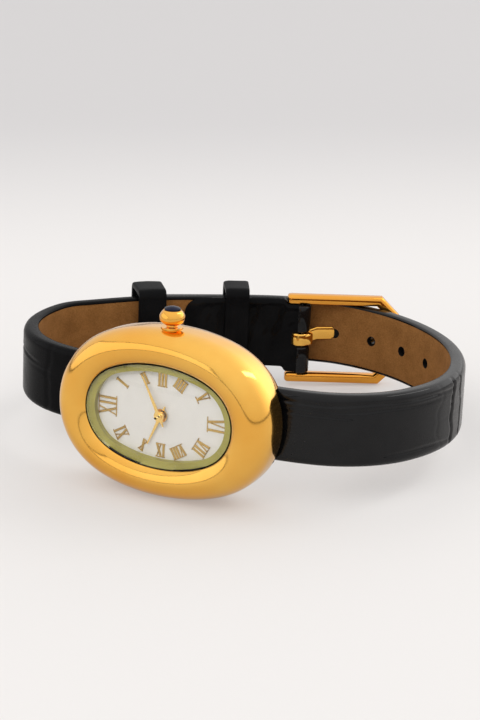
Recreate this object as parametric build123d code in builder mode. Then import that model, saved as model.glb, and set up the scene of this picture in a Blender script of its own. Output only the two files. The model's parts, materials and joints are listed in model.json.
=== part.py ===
from build123d import *
from math import atan2, cos, degrees, hypot, pi, radians, sin, sqrt
import os

os.makedirs("parts", exist_ok=True)

# Oval wristwatch, all sizes in millimetres.
# It is drawn with the dial facing up: X toward 6 o'clock, Y toward 3 o'clock
# and the crown, Z out of the dial. The closed strap hangs below the case.
# The last step stands it on its side, as it rests on a table.

# Resting pose: the watch leans back on the lower edges of case and buckle.
lean_angle = 5.53
roll_angle = 0.0
half_turn_angle = 180.0

# Case: half lengths and half widths of its ovals, and the heights of its rim.
case_long = 16.25
case_short = 11.73
case_end_share = 0.9378
equator_z = -0.1
crest_z = 3.8
rim_z = 2.88
back_z = -4.6
bezel_long = 5.0
bezel_short = 4.36
opening_end_share = 0.8548
rim_overhang = 0.1
crest_share = 0.58
inner_roll_angle = 68.0
dome_steps = 6
roll_steps = 4
flank_insets = (0.06, 0.24, 0.55, 1.25)
flank_heights = (-1.6, -3.2, -4.1, -4.6)
dial_seat_long = 0.25
dial_seat_short = 0.33
cavity_end_share = 0.8442
ledge_z = 2.2
part_gap = 0.05

# Crystal, its gasket and the flat ring under it.
crystal_edge_z = 2.85
crystal_dome_rise = 0.55
crystal_thickness = 0.65
crystal_steps = 5
crystal_step_angle = 15.0
gasket_width = 0.25
gasket_top_z = 2.78
ring_long = 1.35
ring_short = 1.27
flange_end_share = 0.8689

# Dial, numerals and hands.
dial_z = 1.37
dial_thickness = 0.4
dial_hole_radius = 0.7
foot_radius = 0.25
foot_hole_radius = 0.3
foot_edge_x = 1.4
foot_edge_y = 1.6
foot_end_z = -0.5
numeral_thickness = 0.05
numeral_insets = (1.6, 1.292, 1.236, 1.17)
numeral_heights = (2.7, 1.95, 1.6, 1.8)
thick_stroke = 0.25
thin_stroke = 0.1
serif_stroke = 0.08
letter_width_shares = {"I": 0.27, "V": 0.52, "X": 0.52}
numerals = ("XII", "I", "II", "III", "IIII", "V", "VI", "VII", "VIII", "IX", "X", "XI")
hour_hand_angle = -114.0
hour_hand_short = 1.4
hour_hand_z = 1.64
minute_hand_angle = 117.0
minute_hand_short = 0.25
minute_hand_z = 2.12
hand_thickness = 0.12
hand_wide = 0.5
hand_tip = 0.14
hand_tail = 1.5
minute_boss_radius = 0.72
hour_boss_radius = 0.95
boss_height = 0.2
cap_radius = 0.46
cap_height = 0.18

# Movement plates and the ring that holds them.
plate_edge = 0.3
plate_corner = 2.0
plate_top_z = 0.35
plate_bottom_z = -0.95
holder_bottom_z = -3.05
bridge_top_z = -2.25
bridge_bottom_z = -2.6
bridge_land = 0.65
screw_directions = (-102.4, -41.7, -2.7)
screw_distances = (3.05, 4.48, 3.8)
post_radius = 0.5
screw_head_radius = 0.45
screw_head_height = 0.18
screw_shank_radius = 0.22
screw_depth = 0.7
screw_slot = 0.12
screw_fit = 0.02

# Gears.
gear_module = 0.1
tip_share = 0.9
root_share = 1.15
tooth_root_share = 0.31
tooth_tip_share = 0.13
pivot_radius = 0.12
pivot_hole_radius = 0.16
centre_teeth = 40
third_pinion_teeth = 8
third_teeth = 36
between_pinion_teeth = 9
between_teeth = 36
rotor_pinion_teeth = 8
cannon_teeth = 10
minute_wheel_teeth = 30
minute_pinion_teeth = 8
hour_wheel_teeth = 32
third_direction = -20.0
between_direction = 40.0
rotor_direction = 120.0
minute_wheel_direction = -135.0
wheel_thickness = 0.18
centre_wheel_z = -1.28
third_wheel_z = -1.62
between_wheel_z = -1.96
magnet_radius = 0.6
magnet_top_z = -1.3
magnet_bottom_z = -1.7
arbor_radius = 0.18
cannon_bore_radius = 0.22
cannon_radius = 0.36
cannon_bottom_z = 0.4
hour_bore_radius = 0.42
hour_tube_radius = 0.58
hour_wheel_z = 0.68
minute_wheel_z = 0.42
minute_post_radius = 0.15
minute_bore_radius = 0.19
centre_hole_radius = 0.25

# Motor, circuit and battery.
stator_z = -1.62
stator_thickness = 0.2
stator_hole_radius = 0.72
stator_half = 3.05
stator_half_wide = 0.8
stator_leg = 0.8
core_distance = 1.97
core_wide = 0.7
core_thickness = 0.22
coil_radius = 0.62
coil_length = 3.4
board_edge = 0.4
board_long = 4.2
board_wide = 4.1
board_low = 0.9
board_z = -1.3
board_thickness = 0.2
chip_side = 1.5
chip_height = 0.4
chip_rise = 1.3
resonator_radius = 0.5
resonator_length = 3.6
resonator_edge = 0.8
battery_x = -4.3
battery_y = -2.8
battery_radius = 2.4
battery_height = 1.6
battery_lip = 0.3
battery_lip_radius = 2.0
clamp_wide = 1.4
clamp_thickness = 0.14
clamp_back = 2.1
clamp_gap = 0.5
clamp_leg = 0.5

# Crown, stem and setting lever, on one axis along Y.
stem_z = -0.43
stem_radius = 0.32
stem_bore_radius = 0.37
stem_start = 1.5
stem_grip = 0.85
stem_groove_y = 4.5
stem_groove_wide = 0.5
stem_groove_radius = 0.18
clutch_radius = 0.5
clutch_start = 2.1
clutch_end = 3.1
clutch_bore_radius = 0.335
window_half = 0.62
window_start = 1.35
window_end = 3.5
lever_arm = 2.4
lever_wide = 0.7
lever_thickness = 0.16
lever_z = 0.37
lever_pin_radius = 0.12
lever_pivot_radius = 0.2
tube_radius = 0.8
tube_bore_radius = 0.38
tube_setback = 0.2
tube_flange_radius = 1.5
tube_flange_sink = 0.38
tube_flange_rise = 0.14
crown_ball_radius = 1.74
crown_ball_rise = 1.02
crown_gap = 0.13
crown_bore_radius = 0.33
cabochon_radius = 1.2
cabochon_seat = 1.33
cabochon_rise = 0.35
crown_gasket_radius = 0.75
crown_gasket_width = 0.2
gasket_groove = 0.3

# Case back and its gasket.
back_ledge_long = 0.45
back_ledge_short = 1.2
back_plate_top_z = -4.0
back_seat_z = -3.75
back_plug_top_z = -3.15
back_seat_grow = 0.05
back_end_share = 0.8315

# Bars that carry the strap: a tube with a sprung pin at each end.
lug_bar_z = -3.45
lug_side_gap = 0.15
lug_wall = 0.42
lug_space_gap = 0.08
bar_radius = 0.65
bar_bore_radius = 0.4
bar_half_length = 3.5
pin_radius = 0.36
pin_flange_radius = 0.55
pin_flange_start = 4.4
pin_flange_wide = 0.3
pin_inner_end = 1.8
pin_reach = 0.4
pin_hole_radius = 0.42
pin_hole_extra = 0.05
spring_half_length = 0.85
spring_wall = 0.1
spring_radius = 0.36

# Strap: outer curve of each half in plan, X and distance behind the dial side.
strap_end_inset = 0.35
strap_end_depth = 3.05
tail_heading = 4.27
tail_radii = (33.67, 15.67, 22.24, 30.62, 16.82, 88.44)
tail_turns = (11.06, 49.95, 39.85, 53.9, 42.57, 21.62)
buckle_heading = 175.17
buckle_radii = (44.82, 15.22, 16.38)
buckle_turns = (8.1, 30.9, 55.36)
strap_half_width = 5.0
tail_half_width_far = 4.75
buckle_half_width_far = 5.3
strap_far_depth = 46.0
leather_thickness = 1.0
lining_thickness = 0.8
layer_gap = 0.1
flap_thickness = 0.6
loop_radius = 1.25
bar_loop_radius = 1.5
loop_bore_radius = 0.7
lining_start = 3.0
flap_end = 98.6
lining_bar_gap = 1.9
tip_length = 5.0
tip_half_width = 1.3
tongue_hole_at = 74.6
hole_spacing = 6.8
hole_radius = 0.75
first_hole = -2
last_hole = 3
keeper_leather = 1.1
keeper_gap = 0.12
keeper_side_gap = 0.45
keeper_side_wide = 1.3
fixed_keeper_start = 88.4
fixed_keeper_end = 92.2
free_keeper_start = 101.4
free_keeper_end = 105.8

# Buckle, hinged on its bar.
bar_at = 80.1
buckle_direction = 29.0
buckle_side_gap = 0.2
buckle_side_wide = 1.4
buckle_reach = 14.9
buckle_back = 1.6
rim_wide = 1.5
buckle_inner_rise = 0.75
buckle_outer_rise = 1.25
buckle_bevel = 2.7
buckle_inner_bevel = 1.2
buckle_end_round = 0.6
tongue_rest_rise = 0.75
tongue_rest_gap = 0.2
tongue_direction = 38.0
tongue_straight = 8.6
tongue_bend_radius = 3.0
tongue_bend_angle = 10.5
tongue_tip = 5.6
tongue_half_width = 0.95
tongue_thickness = 0.9
tongue_eye_radius = 1.25
tongue_eye_bore_radius = 0.7
tongue_slot_half = 1.15
passage_inner = 0.8
passage_outer = 1.4
passage_half = 1.1


def oval(size, grow=0):
    """Draws an oval of four arcs that meet without a corner: half length, half width, end radius."""
    long_half, short_half, end_radius = (value + grow for value in size)
    reach = long_half - end_radius
    side_radius = (reach**2 + short_half**2 - end_radius**2) / (2 * (short_half - end_radius))
    drop = side_radius - short_half
    span = hypot(reach, drop)
    x = reach + end_radius * reach / span
    y = end_radius * drop / span
    with BuildLine() as outline:
        ThreePointArc((-x, y), (0, short_half), (x, y))
        ThreePointArc((x, y), (long_half, 0), (x, -y))
        ThreePointArc((x, -y), (0, -short_half), (-x, -y))
        ThreePointArc((-x, -y), (-long_half, 0), (-x, y))
    make_face(outline.edges())


def half_way(size_a, size_b, share):
    """The oval a share of the way from one to another."""
    return [a + (b - a) * share for a, b in zip(size_a, size_b)]


def rim_reach(angle):
    """Distance from the dial's middle to about the ring's inner edge."""
    return 1 / hypot(cos(radians(angle)) / flange_oval[0], sin(radians(angle)) / flange_oval[1])


def follow(start, heading, lengths, turns):
    """Lists the arcs and straights of a path: each is start, heading, radius or length, and turn."""
    x, y = start
    pieces = []
    for length, turn in zip(lengths, turns):
        pieces.append((x, y, heading, length, turn))
        x, y = spot(pieces[-1], 1, 0)
        heading += turn
    return pieces


def spot(piece, share, depth):
    """Point a share of the way along a piece, moved to its left by depth."""
    x, y, heading, length, turn = piece
    h = radians(heading)
    if turn == 0:
        return (x + length * share * cos(h) - depth * sin(h), y + length * share * sin(h) + depth * cos(h))
    side = 1 if turn > 0 else -1
    k = radians(heading + turn * share)
    r = side * (length - side * depth)
    return (x - side * length * sin(h) + r * sin(k), y + side * length * cos(h) - r * cos(k))


def length_of(piece):
    return piece[3] if piece[4] == 0 else piece[3] * radians(abs(piece[4]))


def cut_piece(piece, share_a, share_b):
    """The part of a piece between two shares of its length."""
    x, y = spot(piece, share_a, 0)
    part = share_b - share_a
    straight = piece[4] == 0
    return (x, y, piece[2] + piece[4] * share_a, piece[3] * part if straight else piece[3], piece[4] * part)


def trim(path, begin, end):
    """The part of a path between two distances along it."""
    kept = []
    passed = 0
    for piece in path:
        length = length_of(piece)
        share_a = max(0, (begin - passed) / length)
        share_b = min(1, (end - passed) / length)
        if share_b > share_a:
            kept.append(cut_piece(piece, share_a, share_b))
        passed += length
    return kept


def place_on(path, distance, depth):
    """Point and heading at a distance along a path."""
    for piece in path:
        length = length_of(piece)
        if distance <= length or piece is path[-1]:
            share = distance / length
            return spot(piece, share, depth), piece[2] + piece[4] * share
        distance -= length


def band(path, depth_a, depth_b):
    """Draws the strip between two depths along a path."""
    with BuildLine() as outline:
        for depth in (depth_a, depth_b):
            for piece in path:
                a, middle, b = (spot(piece, share, depth) for share in (0, 0.5, 1))
                if piece[4] == 0:
                    Line(a, b)
                else:
                    ThreePointArc(a, middle, b)
        Line(spot(path[0], 0, depth_a), spot(path[0], 0, depth_b))
        Line(spot(path[-1], 1, depth_a), spot(path[-1], 1, depth_b))
    make_face(outline.edges())


def joined_by_two_arcs(a, heading_a, b, heading_b):
    """Two arcs from one point and heading to another, each turning left or right as it must."""
    ta = (cos(radians(heading_a)), sin(radians(heading_a)))
    tb = (cos(radians(heading_b)), sin(radians(heading_b)))
    v = (b[0] - a[0], b[1] - a[1])
    along = v[0] * (ta[0] + tb[0]) + v[1] * (ta[1] + tb[1])
    spread = 2 * (1 - ta[0] * tb[0] - ta[1] * tb[1])
    d = (sqrt(along**2 + spread * (v[0] ** 2 + v[1] ** 2)) - along) / spread
    m = ((a[0] + b[0] + d * (ta[0] - tb[0])) / 2, (a[1] + b[1] + d * (ta[1] - tb[1])) / 2)
    middle = 2 * degrees(atan2(m[1] - a[1], m[0] - a[0])) - heading_a
    turns = [middle - heading_a, heading_b - middle]
    turns = [(turn + half_turn_angle) % (2 * half_turn_angle) - half_turn_angle for turn in turns]
    chords = [hypot(m[0] - a[0], m[1] - a[1]), hypot(b[0] - m[0], b[1] - m[1])]
    arc_radii = [c / (2 * sin(radians(abs(t)) / 2)) for c, t in zip(chords, turns)]
    return follow(a, heading_a, arc_radii, turns)


def taper(half_near, half_far):
    """Keeps only what lies between the tapering edges of a strap half."""
    near = -strap_end_depth
    far = -strap_far_depth
    with BuildSketch(Plane.YZ) as side_view:
        with BuildLine():
            slope = (half_far - half_near) / (near - far)
            top = near + case_long
            low = far - case_long
            wide_top = half_near - slope * case_long
            wide_low = half_far + slope * case_long
            Polyline((-wide_top, top), (wide_top, top), (wide_low, low), (-wide_low, low), close=True)
        make_face()
    extrude(side_view.sketch, amount=4 * case_long, both=True, mode=Mode.INTERSECT)


def gear_outline(place, teeth, phase):
    """Draws a gear with straight-sided teeth, one tooth centred on phase."""
    tip = gear_module * (teeth / 2 + tip_share)
    root = gear_module * (teeth / 2 - root_share)
    pitch = 360 / teeth
    corners = []
    for k in range(teeth):
        middle = phase + k * pitch
        for r, share in ((root, -tooth_root_share), (tip, -tooth_tip_share),
                         (tip, tooth_tip_share), (root, tooth_root_share)):
            a = radians(middle + share * pitch)
            corners.append((place[0] + r * cos(a), place[1] + r * sin(a)))
    with BuildLine() as outline:
        Polyline(*corners, close=True)
    make_face(outline.edges())


def meshed(phase, direction, teeth_a, teeth_b):
    """Phase that puts a tooth gap of gear b on the tooth of gear a."""
    pitch_a = 360 / teeth_a
    pitch_b = 360 / teeth_b
    share = ((direction - phase) / pitch_a) % 1
    return direction + half_turn_angle + (share + 0.5) * pitch_b


def step_away(start, direction, teeth_a, teeth_b):
    """Centre of the next gear in a train."""
    reach = gear_module * (teeth_a + teeth_b) / 2
    return (start[0] + reach * cos(radians(direction)), start[1] + reach * sin(radians(direction)))


def hand_outline(length, angle, boss):
    """Draws a slim tapered hand with a round boss and a short tail."""
    a = radians(angle)
    half_outline = ((-hand_tail, hand_tip / 2), (0, hand_wide / 2), (length, hand_tip / 2))
    corners = [(x * cos(a) - y * sin(a), x * sin(a) + y * cos(a)) for x, y in half_outline]
    corners += [(x * cos(a) + y * sin(a), x * sin(a) - y * cos(a)) for x, y in reversed(half_outline)]
    with BuildLine() as outline:
        Polyline(*corners, close=True)
    make_face(outline.edges())
    Circle(boss)


pieces = {}


def save(builder, name):
    """Keeps the piece, stood in its resting pose, for writing at the end."""
    pieces[name] = rest_place * builder.part


# Ovals that follow the case: half length, half width and end radius.
case_oval = (case_long, case_short, case_short * case_end_share)
opening_long = case_long - bezel_long
opening_short = case_short - bezel_short
opening_oval = (opening_long, opening_short, opening_short * opening_end_share)
cavity_long = opening_long + dial_seat_long
cavity_short = opening_short + dial_seat_short
cavity_oval = (cavity_long, cavity_short, cavity_short * cavity_end_share)
flange_short = opening_short - ring_short
flange_oval = (opening_long - ring_long, flange_short, flange_short * flange_end_share)
back_plate_long = cavity_long + back_ledge_long
back_plate_short = cavity_short + back_ledge_short
back_oval = (back_plate_long, back_plate_short, back_plate_short * back_end_share)

# Places that follow the case: lugs, crown tube and crown.
lug_space_start = back_plate_long + back_seat_grow + lug_wall
lug_space_top_z = lug_bar_z + loop_radius + lug_space_gap
lug_bar_x = lug_space_start + loop_radius + lug_space_gap
strap_end_x = lug_bar_x - strap_end_inset
lug_space_half = strap_half_width + lug_side_gap
tube_start = cavity_short + tube_setback
tube_flange_start = case_short - tube_flange_sink
tube_flange_end = case_short + tube_flange_rise
crown_start = tube_flange_end + crown_gap
crown_ball_y = crown_start + crown_ball_rise
cabochon_y = crown_ball_y + cabochon_seat
stem_end = crown_start + stem_grip

# Widths that follow the strap: keepers and buckle.
keeper_inner_half = buckle_half_width_far + keeper_side_gap
keeper_outer_half = keeper_inner_half + keeper_side_wide
buckle_inner_half = buckle_half_width_far + buckle_side_gap
buckle_outer_half = buckle_inner_half + buckle_side_wide

# Movement: size of the plate, from the battery it holds, and places on it.
plate_long = 2 * (battery_radius - battery_x + plate_edge)
plate_wide = 2 * (battery_radius - battery_y + plate_edge)
foot_x = plate_long / 2 - foot_edge_x
foot_y = plate_wide / 2 - foot_edge_y
board_x = board_edge + board_long / 2 - plate_long / 2
board_y = board_low + board_wide / 2

# Paths of the strap's outer surfaces. Left of a path is the wrist side.
back_plane = Plane(origin=(0, 0, 0), x_dir=(1, 0, 0), z_dir=(0, 1, 0))
strap_thickness = leather_thickness + lining_thickness
tail_path = follow((strap_end_x, strap_end_depth), tail_heading, tail_radii, tail_turns)
tail_length = sum(length_of(piece) for piece in tail_path)
second_depth = strap_thickness + layer_gap
case_side = []
side_x, side_y, side_heading = -strap_end_x, strap_end_depth, buckle_heading + half_turn_angle
for side_radius, side_turn in zip(buckle_radii, buckle_turns):
    backward = (side_x, side_y, side_heading, side_radius, -side_turn)
    turned = radians(side_heading)
    centre = (side_x - side_radius * sin(turned), side_y + side_radius * cos(turned))
    side_heading -= side_turn
    turned = radians(side_heading)
    side_x, side_y = centre[0] + side_radius * sin(turned), centre[1] - side_radius * cos(turned)
    case_side.insert(0, (side_x, side_y, side_heading, side_radius, side_turn))
lap_path = []
for x, y, heading, length, turn in trim(tail_path, bar_at, tail_length):
    lap_x, lap_y = spot((x, y, heading, length, turn), 0, second_depth)
    lap_path.append((lap_x, lap_y, heading, length - second_depth, turn))
lap_end, lap_heading = place_on(lap_path, sum(length_of(piece) for piece in lap_path), 0)
bend_path = joined_by_two_arcs(lap_end, lap_heading, (side_x, side_y), side_heading)
buckle_path = lap_path + bend_path + case_side
buckle_path_length = sum(length_of(piece) for piece in buckle_path)
bar_spot, bar_heading = place_on(tail_path, bar_at, second_depth + bar_loop_radius)

# The resting pose: on its side, leaning back.
rest_place = Location((0, 0, 0), (0, roll_angle, 0)) * Location((0, 0, 0), (90 - lean_angle, 0, 0))

# Case: rings of ovals lofted from the back, over the crest and down to the opening.
lip_oval = [value - rim_overhang for value in opening_oval]
case_rings = [(0, -inset, height) for inset, height in reversed(list(zip(flank_insets, flank_heights)))]
for k in range(dome_steps + 1):
    angle = radians(90 * k / dome_steps)
    case_rings.append((crest_share * (1 - cos(angle)), 0, equator_z + (crest_z - equator_z) * sin(angle)))
for k in range(1, roll_steps + 1):
    angle = radians(inner_roll_angle * k / roll_steps)
    share = crest_share + (1 - crest_share) * sin(angle) / sin(radians(inner_roll_angle))
    drop = (1 - cos(angle)) / (1 - cos(radians(inner_roll_angle)))
    case_rings.append((share, 0, crest_z + (rim_z - crest_z) * drop))
with BuildPart() as case_body:
    for share, grow, height in case_rings:
        with BuildSketch(Plane.XY.offset(height)):
            oval(half_way(case_oval, lip_oval, share), grow)
    loft()
    with BuildSketch(Plane.XY.offset(ledge_z)):
        oval(opening_oval)
    extrude(amount=crest_z, mode=Mode.SUBTRACT)
    with BuildSketch(Plane.XY.offset(ledge_z)):
        oval(cavity_oval)
    extrude(amount=2 * back_z, mode=Mode.SUBTRACT)
    with BuildSketch(Plane.XY.offset(back_seat_z)):
        oval(back_oval, back_seat_grow)
    extrude(amount=2 * back_z, mode=Mode.SUBTRACT)
    for side in (1, -1):
        with BuildSketch(Plane.XY.offset(lug_space_top_z)):
            with Locations((side * (lug_space_start + case_long / 2), 0)):
                Rectangle(case_long, 2 * lug_space_half)
        extrude(amount=2 * back_z, mode=Mode.SUBTRACT)
        with BuildSketch(Plane.XZ):
            with Locations((side * lug_bar_x, lug_bar_z)):
                Circle(pin_hole_radius)
        extrude(amount=lug_space_half + pin_reach + pin_hole_extra, both=True, mode=Mode.SUBTRACT)
    with BuildSketch(Plane.XZ):
        with Locations((0, stem_z)):
            Circle(tube_radius)
    extrude(amount=-2 * case_short, mode=Mode.SUBTRACT)
    with BuildSketch(Plane.XZ.offset(-tube_flange_start)):
        with Locations((0, stem_z)):
            Circle(tube_flange_radius)
    extrude(amount=-case_short, mode=Mode.SUBTRACT)
save(case_body, "case_body")

# Crystal: a thin domed pane inside its own gasket ring.
with BuildPart() as crystal_gasket:
    with BuildSketch(Plane.XY.offset(ledge_z)):
        oval(opening_oval, -part_gap / 2)
    extrude(amount=gasket_top_z - ledge_z)
    with BuildSketch(Plane.XY.offset(ledge_z)):
        oval(opening_oval, -gasket_width)
    extrude(amount=gasket_top_z - ledge_z, mode=Mode.SUBTRACT)
save(crystal_gasket, "crystal_gasket")

pane_oval = [value - gasket_width - part_gap / 2 for value in opening_oval]


def dome(size, edge_z):
    """Lofts a shallow dome whose rings shrink toward the middle."""
    for k in range(crystal_steps):
        shrink = opening_short * (1 - cos(radians(crystal_step_angle * k)))
        full_rise = sin(radians(crystal_step_angle * (crystal_steps - 1)))
        rise = crystal_dome_rise * sin(radians(crystal_step_angle * k)) / full_rise
        with BuildSketch(Plane.XY.offset(edge_z + rise)) as ring:
            oval((size[0] - shrink, size[1] - shrink, size[2] * (1 - shrink / size[1])))
        yield ring.sketch


with BuildPart() as crystal_hollow:
    loft(list(dome(flange_oval, crystal_edge_z - crystal_thickness)))
with BuildPart() as crystal:
    with BuildSketch(Plane.XY.offset(ledge_z)):
        oval(pane_oval)
    extrude(amount=crystal_edge_z - ledge_z)
    loft(list(dome(pane_oval, crystal_edge_z)))
    add(crystal_hollow.part, mode=Mode.SUBTRACT)
save(crystal, "crystal")

with BuildPart() as dial_flange:
    with BuildSketch(Plane.XY.offset(dial_z)):
        oval(cavity_oval, -part_gap)
    extrude(amount=ledge_z - dial_z)
    with BuildSketch(Plane.XY.offset(dial_z)):
        oval(flange_oval)
    extrude(amount=ledge_z - dial_z, mode=Mode.SUBTRACT)
save(dial_flange, "dial_flange")

# Dial with two feet that stand in the main plate.
with BuildPart() as dial:
    with BuildSketch(Plane.XY.offset(dial_z - dial_thickness)):
        oval(cavity_oval, -part_gap)
        Circle(dial_hole_radius, mode=Mode.SUBTRACT)
    extrude(amount=dial_thickness)
    with BuildSketch(Plane.XY.offset(foot_end_z)):
        with Locations((foot_x, -foot_y), (-foot_x, foot_y)):
            Circle(foot_radius)
    extrude(amount=dial_z - dial_thickness - foot_end_z)
save(dial, "dial")

# Hour numerals: strokes and serifs, each numeral upright toward the rim.
def stroke(a, b, wide):
    with Locations(((a[0] + b[0]) / 2, (a[1] + b[1]) / 2)):
        reach = hypot(b[0] - a[0], b[1] - a[1])
        Rectangle(reach + wide / 4, wide, rotation=degrees(atan2(b[1] - a[1], b[0] - a[0])))


def numeral_outline(text, tall):
    """Draws one numeral about its own middle, joined by serif lines."""
    widths = [letter_width_shares[letter] * tall for letter in text]
    x = -sum(widths) / 2
    half = tall / 2
    for letter, width in zip(text, widths):
        left = x + width / 6
        right = x + width - width / 6
        middle = x + width / 2
        if letter == "I":
            stroke((middle, -half), (middle, half), thick_stroke)
        if letter == "V":
            stroke((left, half), (middle, -half), thick_stroke)
            stroke((middle, -half), (right, half), thin_stroke)
        if letter == "X":
            stroke((left, half), (right, -half), thick_stroke)
            stroke((left, -half), (right, half), thin_stroke)
        x += width
    for y in (-half, half):
        stroke((-sum(widths) / 2, y), (sum(widths) / 2, y), serif_stroke)


with BuildPart() as hour_numerals:
    with BuildSketch(Plane.XY.offset(dial_z)):
        for k, text in enumerate(numerals):
            angle = 180 - 30 * k
            step = min(k % 6, 6 - k % 6)
            tall = numeral_heights[step]
            reach = rim_reach(angle) - numeral_insets[step]
            place = (reach * cos(radians(angle)), reach * sin(radians(angle)))
            with Locations(Location((place[0], place[1], 0), (0, 0, angle - 90))):
                with BuildSketch(mode=Mode.PRIVATE) as numeral:
                    numeral_outline(text, tall)
                add(numeral.sketch)
    extrude(amount=numeral_thickness)
save(hour_numerals, "hour_numerals")

# Movement: main plate, with a bore for the stem and a window for its pinion.
holder_fit = part_gap * 2
origin_place = (0, 0)
third_place = step_away(origin_place, third_direction, centre_teeth, third_pinion_teeth)
between_place = step_away(third_place, between_direction, third_teeth, between_pinion_teeth)
rotor_place = step_away(between_place, rotor_direction, between_teeth, rotor_pinion_teeth)
minute_wheel_place = step_away(origin_place, minute_wheel_direction, cannon_teeth, minute_wheel_teeth)
screw_places = [(third_place[0] + far * cos(radians(way)), third_place[1] + far * sin(radians(way)))
                for way, far in zip(screw_directions, screw_distances)]
stator_foot = rotor_place[1] - stator_half_wide
core_y = rotor_place[1] + core_distance
with BuildPart() as main_plate:
    with BuildSketch(Plane.XY.offset(plate_bottom_z)):
        RectangleRounded(plate_long, plate_wide, plate_corner)
        Circle(centre_hole_radius, mode=Mode.SUBTRACT)
        with Locations(third_place, between_place, rotor_place):
            Circle(pivot_hole_radius, mode=Mode.SUBTRACT)
        with Locations((foot_x, -foot_y), (-foot_x, foot_y)):
            Circle(foot_hole_radius, mode=Mode.SUBTRACT)
        with Locations((0, (window_start + window_end) / 2)):
            Rectangle(2 * window_half, window_end - window_start, mode=Mode.SUBTRACT)
    extrude(amount=plate_top_z - plate_bottom_z)
    with BuildSketch(Plane.XY.offset(stem_z)):
        with Locations((0, stem_groove_y + stem_groove_wide / 2)):
            Rectangle(3 * lever_pin_radius, 3 * stem_groove_wide)
    extrude(amount=plate_top_z - stem_z, mode=Mode.SUBTRACT)
    with BuildSketch(Plane.XZ.offset(-window_start)):
        with Locations((0, stem_z)):
            Circle(stem_bore_radius)
    extrude(amount=-plate_wide, mode=Mode.SUBTRACT)
    with BuildSketch(Plane.XY.offset(plate_bottom_z)):
        with Locations(*screw_places):
            Circle(post_radius)
    extrude(amount=bridge_top_z - plate_bottom_z)
    with BuildSketch(Plane.XY.offset(bridge_top_z)):
        with Locations(*screw_places):
            Circle(screw_shank_radius)
    extrude(amount=screw_depth, mode=Mode.SUBTRACT)
    with BuildSketch(Plane.XY.offset(plate_top_z)):
        with Locations(minute_wheel_place):
            Circle(minute_post_radius)
    extrude(amount=hour_wheel_z + wheel_thickness - plate_top_z)
    with BuildSketch(Plane.XY.offset(plate_top_z)):
        with Locations((lever_arm, stem_groove_y)):
            Circle(lever_pivot_radius)
    extrude(amount=lever_z + lever_thickness - plate_top_z)
    with BuildSketch(Plane.XY.offset(plate_bottom_z)):
        with Locations((board_x, board_y)):
            Rectangle(board_long, board_wide)
    extrude(amount=board_z - plate_bottom_z)
    with BuildSketch(Plane.XY.offset(plate_bottom_z)):
        with Locations(rotor_place):
            Rectangle(2 * (stator_half - stator_leg), 2 * stator_half_wide)
            Circle(stator_hole_radius, mode=Mode.SUBTRACT)
    extrude(amount=stator_z + stator_thickness - plate_bottom_z)
save(main_plate, "main_plate")

with BuildPart() as movement_ring:
    with BuildSketch(Plane.XY.offset(holder_bottom_z)):
        oval(cavity_oval, -part_gap)
        RectangleRounded(plate_long + holder_fit, plate_wide + holder_fit, plate_corner, mode=Mode.SUBTRACT)
    extrude(amount=dial_z - dial_thickness - holder_bottom_z)
    with BuildSketch(Plane.XZ):
        with Locations((0, stem_z)):
            Circle(tube_bore_radius)
    extrude(amount=-cavity_long, mode=Mode.SUBTRACT)
save(movement_ring, "movement_ring")


# Gear train between main plate and bridge.
def arbor(place, low, high, radius):
    """Round shaft between two heights."""
    with BuildSketch(Plane.XY.offset(low)) as section:
        with Locations(place):
            Circle(radius)
    extrude(section.sketch, amount=high - low)


def gear(place, teeth, phase, low, thickness, bore=0):
    """Toothed disc at a height."""
    with BuildSketch(Plane.XY.offset(low)) as section:
        gear_outline(place, teeth, phase)
        if bore:
            with Locations(place):
                Circle(bore, mode=Mode.SUBTRACT)
    extrude(section.sketch, amount=thickness)


third_pinion_phase = meshed(0, third_direction, centre_teeth, third_pinion_teeth)
between_pinion_phase = meshed(0, between_direction, third_teeth, between_pinion_teeth)
rotor_pinion_phase = meshed(0, rotor_direction, between_teeth, rotor_pinion_teeth)
plate_pivot_z = plate_bottom_z + 3 * pivot_radius
bridge_pivot_z = bridge_top_z - 2 * pivot_radius
with BuildPart() as centre_wheel:
    gear(origin_place, centre_teeth, 0, centre_wheel_z, wheel_thickness)
    arbor(origin_place, centre_wheel_z, minute_hand_z, arbor_radius)
    arbor(origin_place, bridge_pivot_z, centre_wheel_z, pivot_radius)
save(centre_wheel, "centre_wheel")

with BuildPart() as third_wheel:
    gear(third_place, third_teeth, 0, third_wheel_z, wheel_thickness)
    gear(third_place, third_pinion_teeth, third_pinion_phase, third_wheel_z + wheel_thickness,
         centre_wheel_z - third_wheel_z)
    arbor(third_place, bridge_pivot_z, plate_pivot_z, pivot_radius)
save(third_wheel, "third_wheel")

with BuildPart() as between_wheel:
    gear(between_place, between_teeth, 0, between_wheel_z, wheel_thickness)
    gear(between_place, between_pinion_teeth, between_pinion_phase, between_wheel_z + wheel_thickness,
         third_wheel_z - between_wheel_z)
    arbor(between_place, bridge_pivot_z, plate_pivot_z, pivot_radius)
save(between_wheel, "intermediate_wheel")

with BuildPart() as rotor:
    gear(rotor_place, rotor_pinion_teeth, rotor_pinion_phase, between_wheel_z - part_gap,
         magnet_bottom_z - between_wheel_z + part_gap)
    arbor(rotor_place, magnet_bottom_z, magnet_top_z, magnet_radius)
    arbor(rotor_place, bridge_pivot_z, plate_pivot_z, pivot_radius)
save(rotor, "rotor")

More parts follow.
